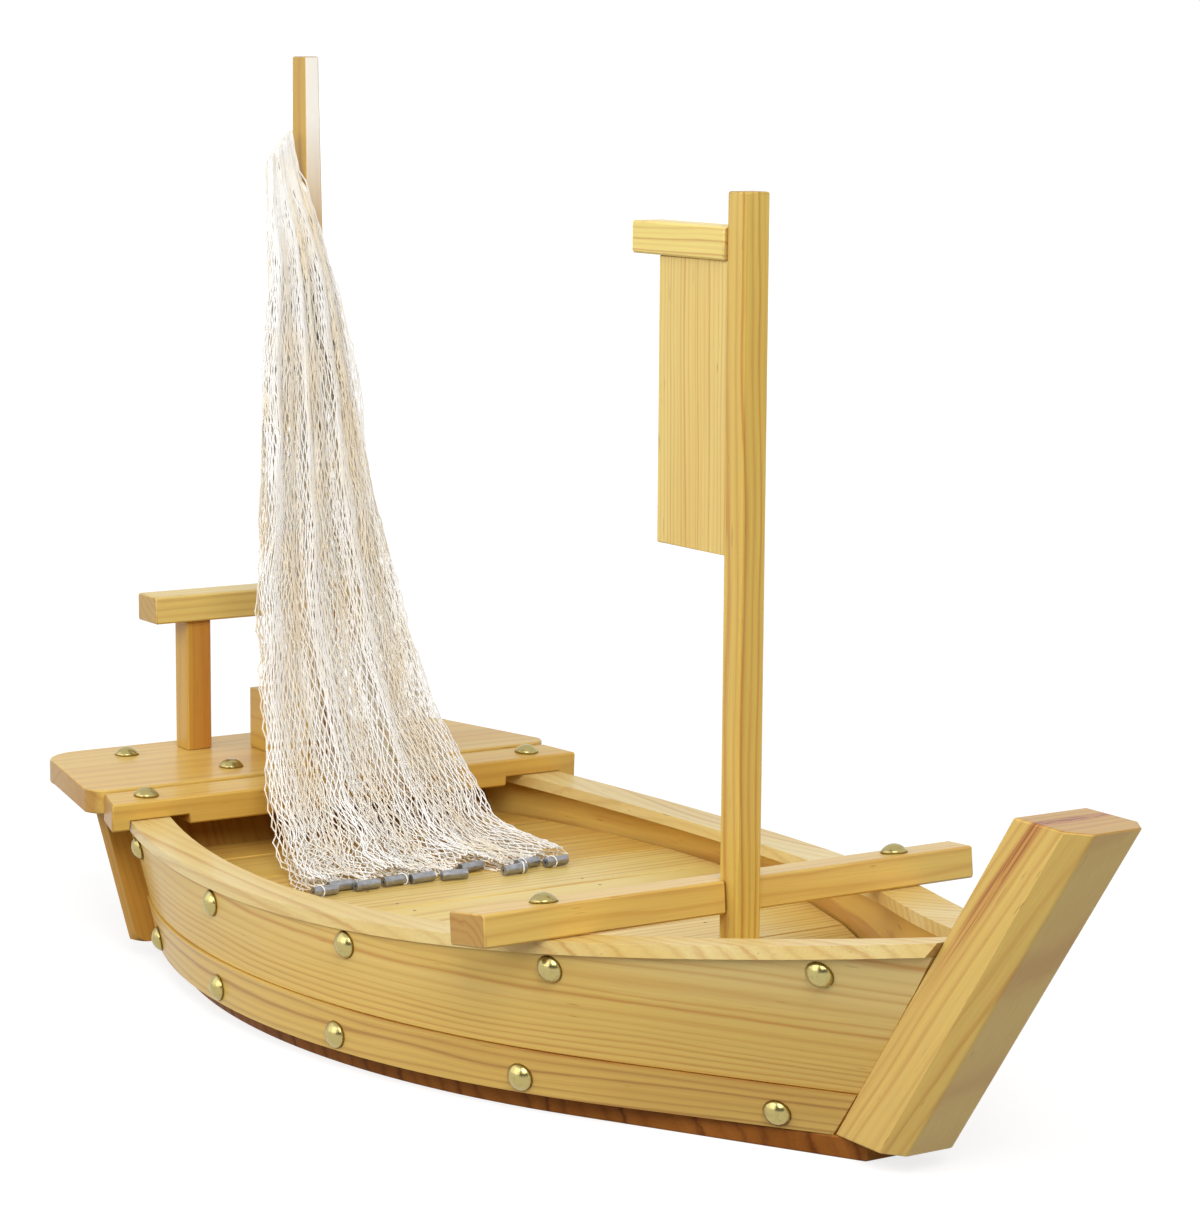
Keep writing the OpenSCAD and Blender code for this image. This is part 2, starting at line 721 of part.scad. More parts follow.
module sail_yard() {
    color(pale_pine)
        translate([sail_front_x() - yard_len, 0, fwd_mast_top - yard_down - yard_h / 2])
            rotate([90, 0, 90]) linear_extrude(yard_len) bar_section(yard_t, yard_h, edge);
}

module sail_panel() {
    color(pine) translate([sail_front_x() - sail_w / 2, 0, fwd_mast_top - yard_down - yard_h - sail_h])
        linear_extrude(sail_h) bar_section(sail_w, sail_t, edge / 2);
}

function rear_mast_aft_x() = deck_front_x() - rear_mast_back;
function rear_step_front_x() = deck_front_x() - rear_step_room;
// The rear mast is straight in its step and tapers above it
function rear_mast_front_x(z) =
    rear_mast_aft_x() + between(rear_foot_len, rear_head_len,
        max(z - deck_z - rear_step_h, 0) / (rear_mast_top - deck_z - rear_step_h));

module rear_mast_step() {
    room = mast_fit;
    color(pale_pine) difference() {
        translate([rear_step_front_x() - rear_step_len, -rear_step_w / 2, deck_z])
            cube([rear_step_len, rear_step_w, rear_step_h]);
        translate([rear_mast_aft_x() - room, -rear_foot_w / 2 - room, deck_z - cut])
            cube([rear_foot_len + 2 * room, rear_foot_w + 2 * room, rear_step_h + 2 * cut]);
    }
}

module rear_mast() {
    foot = deck_z + mast_fit;
    shoulder = deck_z + rear_step_h;
    aft = rear_mast_aft_x();
    side_view = [[aft, foot], [aft + rear_foot_len, foot], [aft + rear_foot_len, shoulder],
        [aft + rear_head_len, rear_mast_top], [aft, rear_mast_top]];
    front_view = [[-rear_foot_w / 2, foot], [rear_foot_w / 2, foot], [rear_foot_w / 2, shoulder],
        [rear_head_w / 2, rear_mast_top], [-rear_head_w / 2, rear_mast_top],
        [-rear_foot_w / 2, shoulder]];
    color(pine) intersection() {
        rotate([90, 0, 0]) linear_extrude(2 * rear_foot_w, center = true) polygon(side_view);
        translate([aft - cut, 0, 0]) rotate([90, 0, 90])
            linear_extrude(rear_foot_len + 2 * cut) polygon(front_view);
    }
}

// The net falls from the mast's head in a curve and runs out along the floor
hem_gap = 1;
net_run = 10;
net_head_z = rear_mast_top - net_down;
net_head_x = rear_mast_front_x(net_head_z) + net_fit + net_head_t / 2 + hem_gap;
net_hem_x = sinker_x + min([for (lie = sinker_lie) lie[1]]) - sinker_d / 2 - 2 * hem_gap;
net_hem_z = floor_z + net_fit + net_hem_t / 2;
net_path = [[net_head_x, net_head_z],
    [net_head_x + net_bow, between(net_hem_z, net_head_z, net_bow_share)],
    [aft_beam_front_x() + net_run, net_hem_z], [net_hem_x, net_hem_z]];
function bezier(p, k) =
    pow(1 - k, 3) * p[0] + 3 * pow(1 - k, 2) * k * p[1] + 3 * (1 - k) * k * k * p[2] + pow(k, 3) * p[3];
function bezier_slope(p, k) =
    3 * pow(1 - k, 2) * (p[1] - p[0]) + 6 * (1 - k) * k * (p[2] - p[1]) + 3 * k * k * (p[3] - p[2]);

module net() {
    rings = [for (i = [0 : net_steps])
        let(k = i / net_steps,
            c = bezier(net_path, k),
            d = bezier_slope(net_path, k) / norm(bezier_slope(net_path, k)),
            up = [-d.y, d.x],
            t = between(net_head_t, net_hem_t, k) / 2,
            w = between(net_head_w, net_hem_w, k) / 2,
            mid = -between(net_head_side, net_hem_side, k))
        [[c.x + up.x * t, mid - w, c.y + up.y * t], [c.x + up.x * t, mid + w, c.y + up.y * t],
         [c.x - up.x * t, mid + w, c.y - up.y * t], [c.x - up.x * t, mid - w, c.y - up.y * t]]];
    color(cotton) four_sided(rings);
}

module net_sinkers() {
    color(lead) for (lie = sinker_lie)
        translate([sinker_x + lie[1], lie[0] * net_hem_w / 2 - net_hem_side,
                floor_z + net_fit + sinker_d / 2])
            rotate([90, 0, lie[2]]) difference() {
                cylinder(d = sinker_d, h = sinker_len, center = true);
                cylinder(d = sinker_bore, h = sinker_len + cut, center = true);
            }
}

module strake_nails() {
    color(brass) both_sides() {
        upper_nail_places() nail(nail_len);
        lower_nail_places() nail(nail_len);
    }
}

bottom_board();
stem_post();
transom();
lower_strake_port();
lower_strake_starboard();
upper_strake_port();
upper_strake_starboard();
cap_rail_port();
cap_rail_starboard();
floor_board_1();
floor_board_2();
floor_board_3();
floor_board_4();
floor_board_5();
floor_board_6();
floor_board_7();
floor_board_8();
floor_board_9();
floor_board_10();
floor_board_11();
floor_bearer_port();
floor_bearer_starboard();
bow_bearer();
floor_brads();
aft_beam();
forward_beam();
beam_nails();
stern_deck();
deck_nails();
rail_post_port();
rail_post_starboard();
stern_rail();
forward_mast_step();
forward_mast();
sail_yard();
sail_panel();
rear_mast_step();
rear_mast();
net();
net_sinkers();
strake_nails();
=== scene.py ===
"""Looks of a wooden sushi boat: varnished pine, brass nails, lead sinkers, a knotted net and a stage."""

import math

import bpy
import numpy as np
from bpy.props import FloatProperty, FloatVectorProperty, IntProperty, PointerProperty
from mathutils import Euler, Matrix, Vector


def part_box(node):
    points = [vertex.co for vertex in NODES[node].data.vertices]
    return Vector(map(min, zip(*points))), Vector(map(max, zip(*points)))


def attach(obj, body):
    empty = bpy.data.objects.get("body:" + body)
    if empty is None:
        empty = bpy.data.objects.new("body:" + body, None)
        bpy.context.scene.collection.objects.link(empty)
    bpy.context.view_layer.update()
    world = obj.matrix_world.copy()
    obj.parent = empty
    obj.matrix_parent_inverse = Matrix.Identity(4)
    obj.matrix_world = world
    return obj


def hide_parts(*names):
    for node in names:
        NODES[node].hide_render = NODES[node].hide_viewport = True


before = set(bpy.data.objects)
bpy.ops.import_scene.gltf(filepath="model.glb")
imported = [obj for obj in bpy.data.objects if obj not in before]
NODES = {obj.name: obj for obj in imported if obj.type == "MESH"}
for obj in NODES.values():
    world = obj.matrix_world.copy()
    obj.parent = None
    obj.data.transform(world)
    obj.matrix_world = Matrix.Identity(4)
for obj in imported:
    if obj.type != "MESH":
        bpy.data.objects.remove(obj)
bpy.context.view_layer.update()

bl_info = {
    "name": "Sushi boat finishes",
    "version": (1, 0, 0),
    "blender": (4, 5, 0),
    "location": "View3D > Sidebar > Sushi boat",
    "description": "Varnished pine, brass, lead and a knotted net for a wooden sushi boat",
    "category": "Object",
}

MM = 0.001
FLOOR_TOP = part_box("floor_board_5")[1].z

# Leans from upright, and how far the stem's grain stands off the stem's own lean
STEM_LEAN = math.radians(35.6)
STEM_GRAIN = 0.0685
TRANSOM_LEAN = math.radians(33.3)
# Turns that bring a piece's grain onto the X axis of its texture
ALONG_BOAT = (0.0, 0.0, 0.0)
ATHWART = (0.0, 0.0, -math.pi / 2)
UPRIGHT = (0.0, math.pi / 2, 0.0)
UP_THE_TRANSOM = (0.0, math.pi / 2 + TRANSOM_LEAN, 0.0)
UP_THE_STEM = (0.0, math.pi / 2 - STEM_LEAN - STEM_GRAIN, 0.0)

# Each log reads its own stretch of the noises, this many millimetres from the next
SEED_STEP = 137.0
# Sizes of the wood's noises in millimetres, along the grain and twice across it
DRIFT = (210, 55, 55)
SHAKE = (70, 3, 3)
PATCH = (260, 30, 30)
FIBRE = (40, 0.7, 0.7)
FLECK = (15, 0.9, 0.9)
SPLIT = (90, 1.1, 1.1)
# Rings over which their width swells, and how far the swell and the fine shake move a ring, in rings
SWELL_RINGS = 5
SWELL_REACH = 2.2
SHAKE_REACH = 0.6
# How dark the faintest ring is, and how much darker the darkest
RING_FAINT = 0.2
RING_SPREAD = 0.7
# On bent planks the patches deepen with the distance from the pith, in millimetres
DEEPER_OVER = 155.0
DEEPER_FROM = 0.16
# Ramps of the wood as places and levels
RING_LINE = ((0.0, 0.25), (1.0, 0.25), (0.2, 0.0), (0.5, 0.2), (0.82, 1.0))
PATCH_SHARE = ((0.38, 0.0), (0.78, 1.0))
FIBRE_SHADE = ((0.3, 0.8), (0.7, 1.0))
FLECK_SHARE = ((0.745, 0.0), (0.8, 0.6))
HEART_SHARE = ((0.0, 0.95), (1.0, 0.0), (0.35, 0.6))
STREAK_FADE = ((0.0, 0.12), (1.0, 1.0))
STREAK_BAND = ((0.0, 0.85), (1.0, 0.0), (0.5, 0.6))
STREAK_SPLIT = ((0.47, 0.0), (0.54, 1.0))
STREAK_CORE = ((0.35, 1.0), (0.7, 0.0))
END_SHARE = ((0.5, 0.0), (0.8, 1.0))
# Painted highlight on the rear mast's bow face: ramps by facing and by height
HIGHLIGHT_FACING = ((0.6, 0.0), (0.95, 1.0))
HIGHLIGHT_RISE = ((0.0, 0.0), (1.0, 1.0))
FIBRE_WEIGHT = 0.45
ROUGH_SPREAD = 0.14
COAT_ROUGH = 0.16
GRAIN_DEPTH = 0.12 * MM
# Stains without varnish, and how strongly bare and varnished wood mirror
BARE_STAINS = ("base", "brown")
BARE_SHINE = 0.08
WOOD_SHINE = 0.25

# Edges that turn by more degrees than these stay sharp, or are rounded
SHARP_ANGLE = 30
ROUND_ANGLE = 50
# The rim of a hole has edges shorter than this, each turning by more degrees than the angle
RIM_STEP = 0.5 * MM
RIM_ANGLE = 5
WELD_REACH = 1e-6
FLAT_ANGLE = math.radians(0.2)
ROUND_STEPS = 3


def tint(code):
    """Linear colour of a written sRGB colour: each channel over 255, then the sRGB curve undone."""
    part = [int(code[i:i + 2], 16) / 255 for i in (1, 3, 5)]
    return tuple(c / 12.92 if c <= 0.04045 else ((c + 0.055) / 1.055) ** 2.4 for c in part)


def paint(label, code, words):
    """A colour property with its default."""
    return FloatVectorProperty(name=label, description=words, default=tint(code), size=3, subtype="COLOR",
                               min=0.0, max=1.0)


class BoatWood(bpy.types.PropertyGroup):
    """Colours and grain of the varnished pine."""

    cream: paint("Cream wood", "#f2db7a", "Palest wood of the sail's yard")
    early: paint("Early wood", "#ecd381", "Pale wood of the floor, the stern rail's bar and the sail panel")
    warm: paint("Warm wood", "#e1bd64", "Warmer patches of the pale wood")
    honey: paint("Honey wood", "#dcae4e", "Deeper patches of the golden pieces")
    plank: paint("Plank wood", "#ead392", "Pale wood of the upper planks and cap rails")
    plank_deep: paint("Plank wood, deep", "#dfbb62", "Deeper patches of the upper planks")
    ochre: paint("Ochre wood", "#c6943f", "Deeper patches of the lower planks")
    straw: paint("Straw wood", "#e2c566", "Yellower wood of the forward mast")
    straw_deep: paint("Straw wood, deep", "#d8b24e", "Deeper patches of the forward mast")
    brown: paint("Brown wood", "#b3863d", "Darker wood of the transom, the rail posts and the rear mast")
    late: paint("Late wood", "#c38b3f", "Dark line that ends each growth ring")
    heart: paint("Heart wood", "#94501f", "Flecks, splits and the darkest ring lines")
    red: paint("Red wood", "#c07a35", "Redder wood round the pith of the rail posts and the stem")
    end: paint("End grain", "#d6c6bc", "Tint of the wood where the grain is cut across")
    # Painted highlight: whitish colour high on the rear mast's faces towards the bow
    bow_highlight: paint("Painted bow highlight", "#fffaf0", "Painted highlight high on the rear mast's bow face")
    base: paint("Bottom board", "#b87c38", "Darker stain of the bottom board")
    base_dark: paint("Bottom board, dark", "#9e6427", "Darker patches of the bottom board")
    base_line: paint("Bottom board, lines", "#5f3012", "Growth rings of the bottom board")
    wobble: FloatProperty(name="Wobble", description="How far the rings wander", default=5 * MM,
                          min=0.0, max=20 * MM, unit="LENGTH")
    rough: FloatProperty(name="Roughness", description="Roughness under the varnish", default=0.42,
                         min=0.0, max=1.0, subtype="FACTOR")
    varnish: FloatProperty(name="Varnish", description="Weight of the varnish coat", default=0.22,
                           min=0.0, max=1.0, subtype="FACTOR")
    edge: FloatProperty(name="Eased edge", description="Radius of the sanded edges", default=0.9 * MM,
                        min=0.0, max=3 * MM, unit="LENGTH")


class BoatMetal(bpy.types.PropertyGroup):
    """Colours of the nails, brads and sinkers."""

    brass: paint("Brass", "#b3a56c", "Polished brass of the domed nails")
    tarnish: paint("Tarnish", "#8f7c46", "Darker film on the brass")
    lead: paint("Lead", "#b4b6ba", "Lead of the sinkers")
    steel: paint("Steel", "#6a5a48", "Old steel of the floor brads")


class BoatNet(bpy.types.PropertyGroup):
    """Make of the knotted net."""

    thread: paint("Thread", "#fffdfa", "Cotton thread of the front fold")
    shade: paint("Thread shade", "#fcf4e4", "Creamier parts of the thread")
    # Painted shade: the inner folds' thread is warmer, standing in for the warm shade between the folds
    cream_and_shade: paint("Thread, painted shade", "#f8e6c6", "Warmer thread of the inner folds")
    thread_d: FloatProperty(name="Thread diameter", description="Diameter of the thread", default=0.66 * MM,
                            min=0.3 * MM, max=2 * MM, unit="LENGTH")
    strands: IntProperty(name="Strands", description="Threads across each fold of the net", default=74,
                         min=16)
    rows: IntProperty(name="Rows", description="Rows of knots from head to hem", default=84, min=10)
    fold_gap: FloatProperty(name="Fold gap", description="Distance between two folds", default=1.4 * MM,
                            min=0.0, max=8 * MM, unit="LENGTH")


class BoatStage(bpy.types.PropertyGroup):
    """Camera and light."""

    lens: FloatProperty(name="Lens", description="Focal length on a 36 mm frame", default=107.18, min=10.0,
                        unit="CAMERA")
    yaw: FloatProperty(name="Yaw", description="Camera's turn from the bow", default=0.573, subtype="ANGLE")
    pitch: FloatProperty(name="Pitch", description="Camera's look down", default=0.152, subtype="ANGLE")
    roll: FloatProperty(name="Roll", description="Camera's roll", default=0.007, subtype="ANGLE")
    place: FloatVectorProperty(name="Place", description="Camera's place", size=3, subtype="TRANSLATION",
                               default=(1.1851, -0.7643, 0.3887))
    sky: FloatProperty(name="Sky", description="Strength of the light from all round", default=0.55, min=0.0)
    key: FloatProperty(name="Key", description="Power of the main lamp", default=6.0, min=0.0, unit="POWER")
    fill: FloatProperty(name="Fill", description="Power of the side lamp", default=4.4, min=0.0, unit="POWER")
    front: FloatProperty(name="Front", description="Power of the lamp over the bow", default=28.0, min=0.0,
                         unit="POWER")


class Graph:
    """A material's node tree, with short calls that add a node and return its output."""

    def __init__(self, name):
        self.material = bpy.data.materials.new(name)
        self.material.use_nodes = True
        self.tree = self.material.node_tree
        self.shader = self.tree.nodes["Principled BSDF"]

    def add(self, kind, inputs=(), **settings):
        """Adds a node, sets its fields, and links or sets its inputs."""
        node = self.tree.nodes.new(kind)
        for key, value in settings.items():
            setattr(node, key, value)
        for key, value in dict(inputs).items():
            self.set(node.inputs[key], value)
        return node

    def set(self, socket, value):
        """Links an output to a socket, or sets a number or colour on it."""
        if isinstance(value, bpy.types.NodeSocket):
            self.tree.links.new(value, socket)
        elif hasattr(value, "__len__") and len(value) == 3 and socket.type == "RGBA":
            socket.default_value = (*value, 1.0)
        else:
            socket.default_value = value

    def surface(self, values):
        """Links or sets the shader's own sockets."""
        for name, value in values.items():
            self.set(self.shader.inputs[name], value)

    def place(self, turn=(0, 0, 0), shift=(0, 0, 0), squash=1.0):
        """Object coordinates in millimetres, squashed athwart, turned and shifted."""
        where = self.add("ShaderNodeTexCoord").outputs["Object"]
        size = (1 / MM, squash / MM, 1 / MM)
        return self.add("ShaderNodeMapping", {
            "Vector": where, "Scale": size, "Rotation": turn, "Location": shift}).outputs[0]

    def vector(self, kind, a, b):
        """Vector arithmetic."""
        return self.add("ShaderNodeVectorMath", {0: a, 1: b}, operation=kind).outputs[0]

    def math(self, kind, a, b=0.0, c=0.0):
        """Arithmetic."""
        return self.add("ShaderNodeMath", {0: a, 1: b, 2: c}, operation=kind).outputs[0]

    def length(self, vector):
        """A vector's length."""
        return self.add("ShaderNodeVectorMath", {0: vector}, operation="LENGTH").outputs["Value"]

    def part(self, vector, axis):
        """One axis of a vector."""
        return self.add("ShaderNodeSeparateXYZ", {0: vector}).outputs[axis]

    def facing(self):
        """The direction in which the surface faces."""
        return self.add("ShaderNodeNewGeometry").outputs["Normal"]

    def noise(self, vector, size, detail=2.0, rough=0.5, output="Fac"):
        """Noise whose blobs have this size in millimetres on each axis."""
        spot = self.vector("MULTIPLY", vector, tuple(1 / s for s in size))
        return self.add("ShaderNodeTexNoise", {
            "Vector": spot, "Scale": 1.0, "Detail": detail, "Roughness": rough}).outputs[output]

    def ramp(self, value, stops, smooth=False):
        """A grey ramp through (place, level) stops."""
        node = self.add("ShaderNodeValToRGB", {"Fac": value})
        node.color_ramp.interpolation = "EASE" if smooth else "LINEAR"
        for i, (at, level) in enumerate(stops):
            point = node.color_ramp.elements[i] if i < 2 else node.color_ramp.elements.new(at)
            point.position = at
            point.color = (level, level, level, 1.0)
        return node.outputs["Color"]

    def rise(self, value, start, length, stops):
        """A ramp over a length of a value, from its start."""
        return self.ramp(self.math("MULTIPLY_ADD", value, 1 / length, -start / length), stops)

    def mix(self, share, a, b, blend="MIX"):
        """Two colours mixed by a share of the second."""
        node = self.add("ShaderNodeMix", data_type="RGBA", blend_type=blend)
        self.set(node.inputs["Factor"], share)
        self.set(node.inputs["A"], a)
        self.set(node.inputs["B"], b)
        return node.outputs["Result"]

    def bump(self, height, depth, strength):
        """Fine relief of the surface."""
        normal = self.add("ShaderNodeBump", {"Height": height, "Distance": depth, "Strength": strength})
        self.surface({"Normal": normal.outputs[0]})


def stains(wood):
    """Pale colour, patches and ring lines of each stain."""
    return {
        "pale": (wood.early, wood.warm, wood.late),
        "honey": (wood.warm, wood.honey, wood.late),
        "gold": (wood.warm, wood.plank_deep, wood.late),
        "cream": (wood.cream, wood.early, wood.late),
        "plank": (wood.plank, wood.plank_deep, wood.late),
        "cap": (wood.plank, wood.warm, wood.late),
        "low": (wood.plank_deep, wood.ochre, wood.heart),
        "straw": (wood.straw, wood.straw_deep, wood.late),
        "amber": (wood.straw_deep, wood.brown, wood.late),
        "brown": (wood.ochre, wood.brown, wood.heart),
        "base": (wood.base, wood.base_dark, wood.base_line),
    }


def pine(name, turn, pith, seed, gap=3.4, contrast=1.0, squash=1.0, heart=0.0, streak=None, bow_highlight=None,
         stain="pale"):
    """Varnished pine as a log around a pith line. A bent plank has its thickness squashed, so that its rings
    follow the plank. The pith, the ring gap and the heart's radius are in millimetres."""
    wood = bpy.context.scene.boat_wood
    pale, warm, late = stains(wood)[stain]
    g = Graph(name)
    spot = g.place(turn, (seed * SEED_STEP, -pith[0], -pith[1]), squash)
    skin = g.place(turn, (seed * SEED_STEP, 0.0, 0.0)) if 0 < squash < 1 else spot
    radius, line = growth_rings(g, spot, gap, contrast)
    patch = g.noise(skin, PATCH)
    if squash == 0.0:
        patch = g.math("ADD", patch, g.math("MULTIPLY_ADD", radius, 1 / DEEPER_OVER, -DEEPER_FROM))
    colour = g.mix(g.ramp(patch, PATCH_SHARE), pale, warm)
    colour = g.mix(line, colour, late)
    fibre = g.noise(skin, FIBRE, 3.0, 0.65)
    colour = g.mix(FIBRE_WEIGHT, colour, g.ramp(fibre, FIBRE_SHADE), "MULTIPLY")
    colour = g.mix(g.ramp(g.noise(skin, FLECK, 1.0), FLECK_SHARE), colour, wood.heart)
    if heart:
        colour = g.mix(g.ramp(g.math("DIVIDE", radius, heart), HEART_SHARE, True), colour, wood.red)
    if streak:
        colour = red_streak(g, colour, spot, radius, seed, streak)
    colour = end_grain(g, colour, turn)
    # Painted highlight on faces towards the bow
    if bow_highlight:
        colour = paint_bow_highlight(g, colour, bow_highlight)
    bare = stain in BARE_STAINS
    g.surface({
        "Base Color": colour,
        "Roughness": g.math("MULTIPLY_ADD", fibre, ROUGH_SPREAD, wood.rough - ROUGH_SPREAD / 2),
        "Coat Weight": 0.0 if bare else wood.varnish,
        "Coat Roughness": COAT_ROUGH,
        "Specular IOR Level": BARE_SHINE if bare else WOOD_SHINE,
    })
    g.bump(g.math("MULTIPLY_ADD", line, 0.6, fibre), GRAIN_DEPTH, 0.3)
    return g.material


def growth_rings(g, spot, gap, contrast):
    """Distance from the pith, and the ring's line. The distance, warped by slow noise and divided by the ring
    gap, gives the ring; within a ring the line darkens slowly and then drops back, in each ring by another
    force."""
    reach = 2.0 * bpy.context.scene.boat_wood.wobble / MM
    drift = g.vector("SUBTRACT", g.noise(spot, DRIFT, output="Color"), (0.5, 0.5, 0.5))
    drift = g.vector("MULTIPLY", drift, (0.0, reach, reach))
    across = g.vector("MULTIPLY", g.vector("ADD", spot, drift), (0.0, 1.0, 1.0))
    radius = g.length(across)
    shake = g.noise(spot, SHAKE, 3.0, 0.6)
    swell = g.noise(across, (1.0, SWELL_RINGS * gap, SWELL_RINGS * gap), 1.0)
    rings = g.math("MULTIPLY_ADD", shake, SHAKE_REACH, g.math("MULTIPLY", swell, SWELL_REACH))
    rings = g.math("MULTIPLY_ADD", radius, 1.0 / gap, rings)
    line = g.ramp(g.math("FRACT", rings), RING_LINE, True)
    chance = g.add("ShaderNodeTexWhiteNoise", {"W": g.math("FLOOR", rings)}, noise_dimensions="1D")
    force = g.math("MULTIPLY_ADD", chance.outputs["Value"], RING_SPREAD * contrast, RING_FAINT * contrast)
    return radius, g.math("MULTIPLY", line, force)


def red_streak(g, colour, spot, radius, seed, streak):
    """A reddish band round the pith with a dark split in it, which fades down the log. The streak gives where
    the fade starts along the grain, its length and the band's half width, in millimetres."""
    wood = bpy.context.scene.boat_wood
    start, length, half = streak
    upper = g.rise(g.part(spot, "X"), seed * SEED_STEP + start, length, STREAK_FADE)
    share = g.math("DIVIDE", radius, half)
    band = g.ramp(share, STREAK_BAND, True)
    colour = g.mix(g.math("MULTIPLY", band, upper), colour, wood.red)
    core = g.math("MULTIPLY", g.ramp(share, STREAK_CORE), g.ramp(g.noise(spot, SPLIT), STREAK_SPLIT))
    return g.mix(g.math("MULTIPLY", core, upper), colour, wood.heart)


def end_grain(g, colour, turn):
    """Darker wood where the surface faces along the grain."""
    axis = tuple(Euler(turn).to_matrix().transposed() @ Vector((1.0, 0.0, 0.0)))
    along = g.add("ShaderNodeVectorMath", {0: g.facing(), 1: axis}, operation="DOT_PRODUCT").outputs["Value"]
    cut = g.ramp(g.math("ABSOLUTE", along), END_SHARE)
    return g.mix(cut, colour, g.mix(1.0, colour, bpy.context.scene.boat_wood.end, "MULTIPLY"))


def paint_bow_highlight(g, colour, bow_highlight):
    """Painted highlight: whitish colour on a face towards the bow, which comes in upwards. The pair gives the
    height where it starts and the length over which it comes in, in millimetres."""
    facing = g.ramp(g.part(g.facing(), "X"), HIGHLIGHT_FACING)
    upper = g.rise(g.part(g.place(), "Z"), *bow_highlight, HIGHLIGHT_RISE)
    return g.mix(g.math("MULTIPLY", facing, upper), colour, bpy.context.scene.boat_wood.bow_highlight)


def dress(names, material):
    """Gives CAD nodes a material."""
    for name in names:
        mesh = NODES[name].data
        mesh.materials.clear()
        mesh.materials.append(material)


def read(items, field, width, kind):
    """One field of a mesh's items as an array of rows."""
    values = np.empty(len(items) * width, kind)
    items.foreach_get(field, values)
    return values.reshape(-1, width)


def mark_edges(mesh):
    """Sharp edges of a mesh of loose triangles: corners at one place count as one, and each edge's two faces
    give its angle. Sharp edges are marked; those that turn furthest, away from holes, are weighted to be
    rounded."""
    places, same = np.unique(read(mesh.vertices, "co", 3, np.float32).round(6), axis=0, return_inverse=True)
    ends = np.sort(same.reshape(-1)[read(mesh.edges, "vertices", 2, np.int32)], axis=1)
    length = np.linalg.norm(places[ends[:, 0]] - places[ends[:, 1]], axis=1)
    key = ends[:, 0].astype(np.int64) * len(places) + ends[:, 1]
    owner = key[read(mesh.loops, "edge_index", 1, np.int32)[:, 0]]
    corners = read(mesh.polygons, "loop_total", 1, np.int32)[:, 0]
    face = np.repeat(np.arange(len(mesh.polygons)), corners)
    order = np.argsort(owner, kind="stable").reshape(-1, 2)
    normal = read(mesh.polygons, "normal", 3, np.float32)
    turn = np.einsum("ij,ij->i", normal[face[order[:, 0]]], normal[face[order[:, 1]]])
    angle = np.degrees(np.arccos(np.clip(turn, -1, 1)))
    found = angle[np.searchsorted(owner[order[:, 0]], key)]
    rim = np.zeros(len(places), bool)
    rim[ends[(length < RIM_STEP) & (found > RIM_ANGLE)]] = True
    rounded = (found > ROUND_ANGLE) & ~rim[ends].any(axis=1)
    mesh.edges.foreach_set("use_edge_sharp", (found > SHARP_ANGLE) & ~rounded)
    weight = mesh.attributes.new("bevel_weight_edge", "FLOAT", "EDGE")
    weight.data.foreach_set("value", rounded.astype(np.float32))


def smooth(names, edge=0.0):
    """Smooth shading with sharp edges: loose triangles are welded, flat ones joined, and with an edge radius
    the outer edges get a round."""
    for name in names:
        piece = NODES[name]
        mark_edges(piece.data)
        if "custom_normal" in piece.data.attributes:
            piece.data.attributes.remove(piece.data.attributes["custom_normal"])
        piece.data.polygons.foreach_set("use_smooth", np.ones(len(piece.data.polygons), bool))
        weld = piece.modifiers.new("weld", "WELD")
        weld.merge_threshold = WELD_REACH
        if not edge:
            continue
        flat = piece.modifiers.new("flatten", "DECIMATE")
        flat.decimate_type = "DISSOLVE"
        flat.angle_limit = FLAT_ANGLE
        flat.delimit = {"SHARP"}
        rounding = piece.modifiers.new("round", "BEVEL")
        rounding.width = edge
        rounding.segments = ROUND_STEPS
        rounding.limit_method = "WEIGHT"
        rounding.harden_normals = True


def finish(group):
    """Gives a group of wooden pieces their log and their sanded edges."""
    for name, log in LOGS[group].items():
        dress([name], pine(name, **log))
    smooth(LOGS[group], bpy.context.scene.boat_wood.edge)


def boards():
    """A log for each floor board, from stern to bow, its pith near the board's own middle. The first boards,
    under the net and the deck, take the deeper honey stain as painted warm shade."""
    logs = {}
    # Boards from the stern that take the honey stain as painted warm shade
    warm_shade_boards = 3
    asides = (18.0, -9.0, 30.0, -22.0)
    heights = (20, 11, 2)
    names = sorted((n for n in NODES if n.startswith("floor_board_")), key=lambda n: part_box(n)[0].x)
    for i, name in enumerate(names):
        low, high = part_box(name)
        middle = (low.x + high.x) / 2 / MM
        pith = (-middle + asides[i % len(asides)], heights[i % len(heights)])
        logs[name] = dict(turn=ATHWART, pith=pith, seed=23 + i, gap=3.2, contrast=0.95,
                          stain="honey" if i < warm_shade_boards else "pale")
    return logs


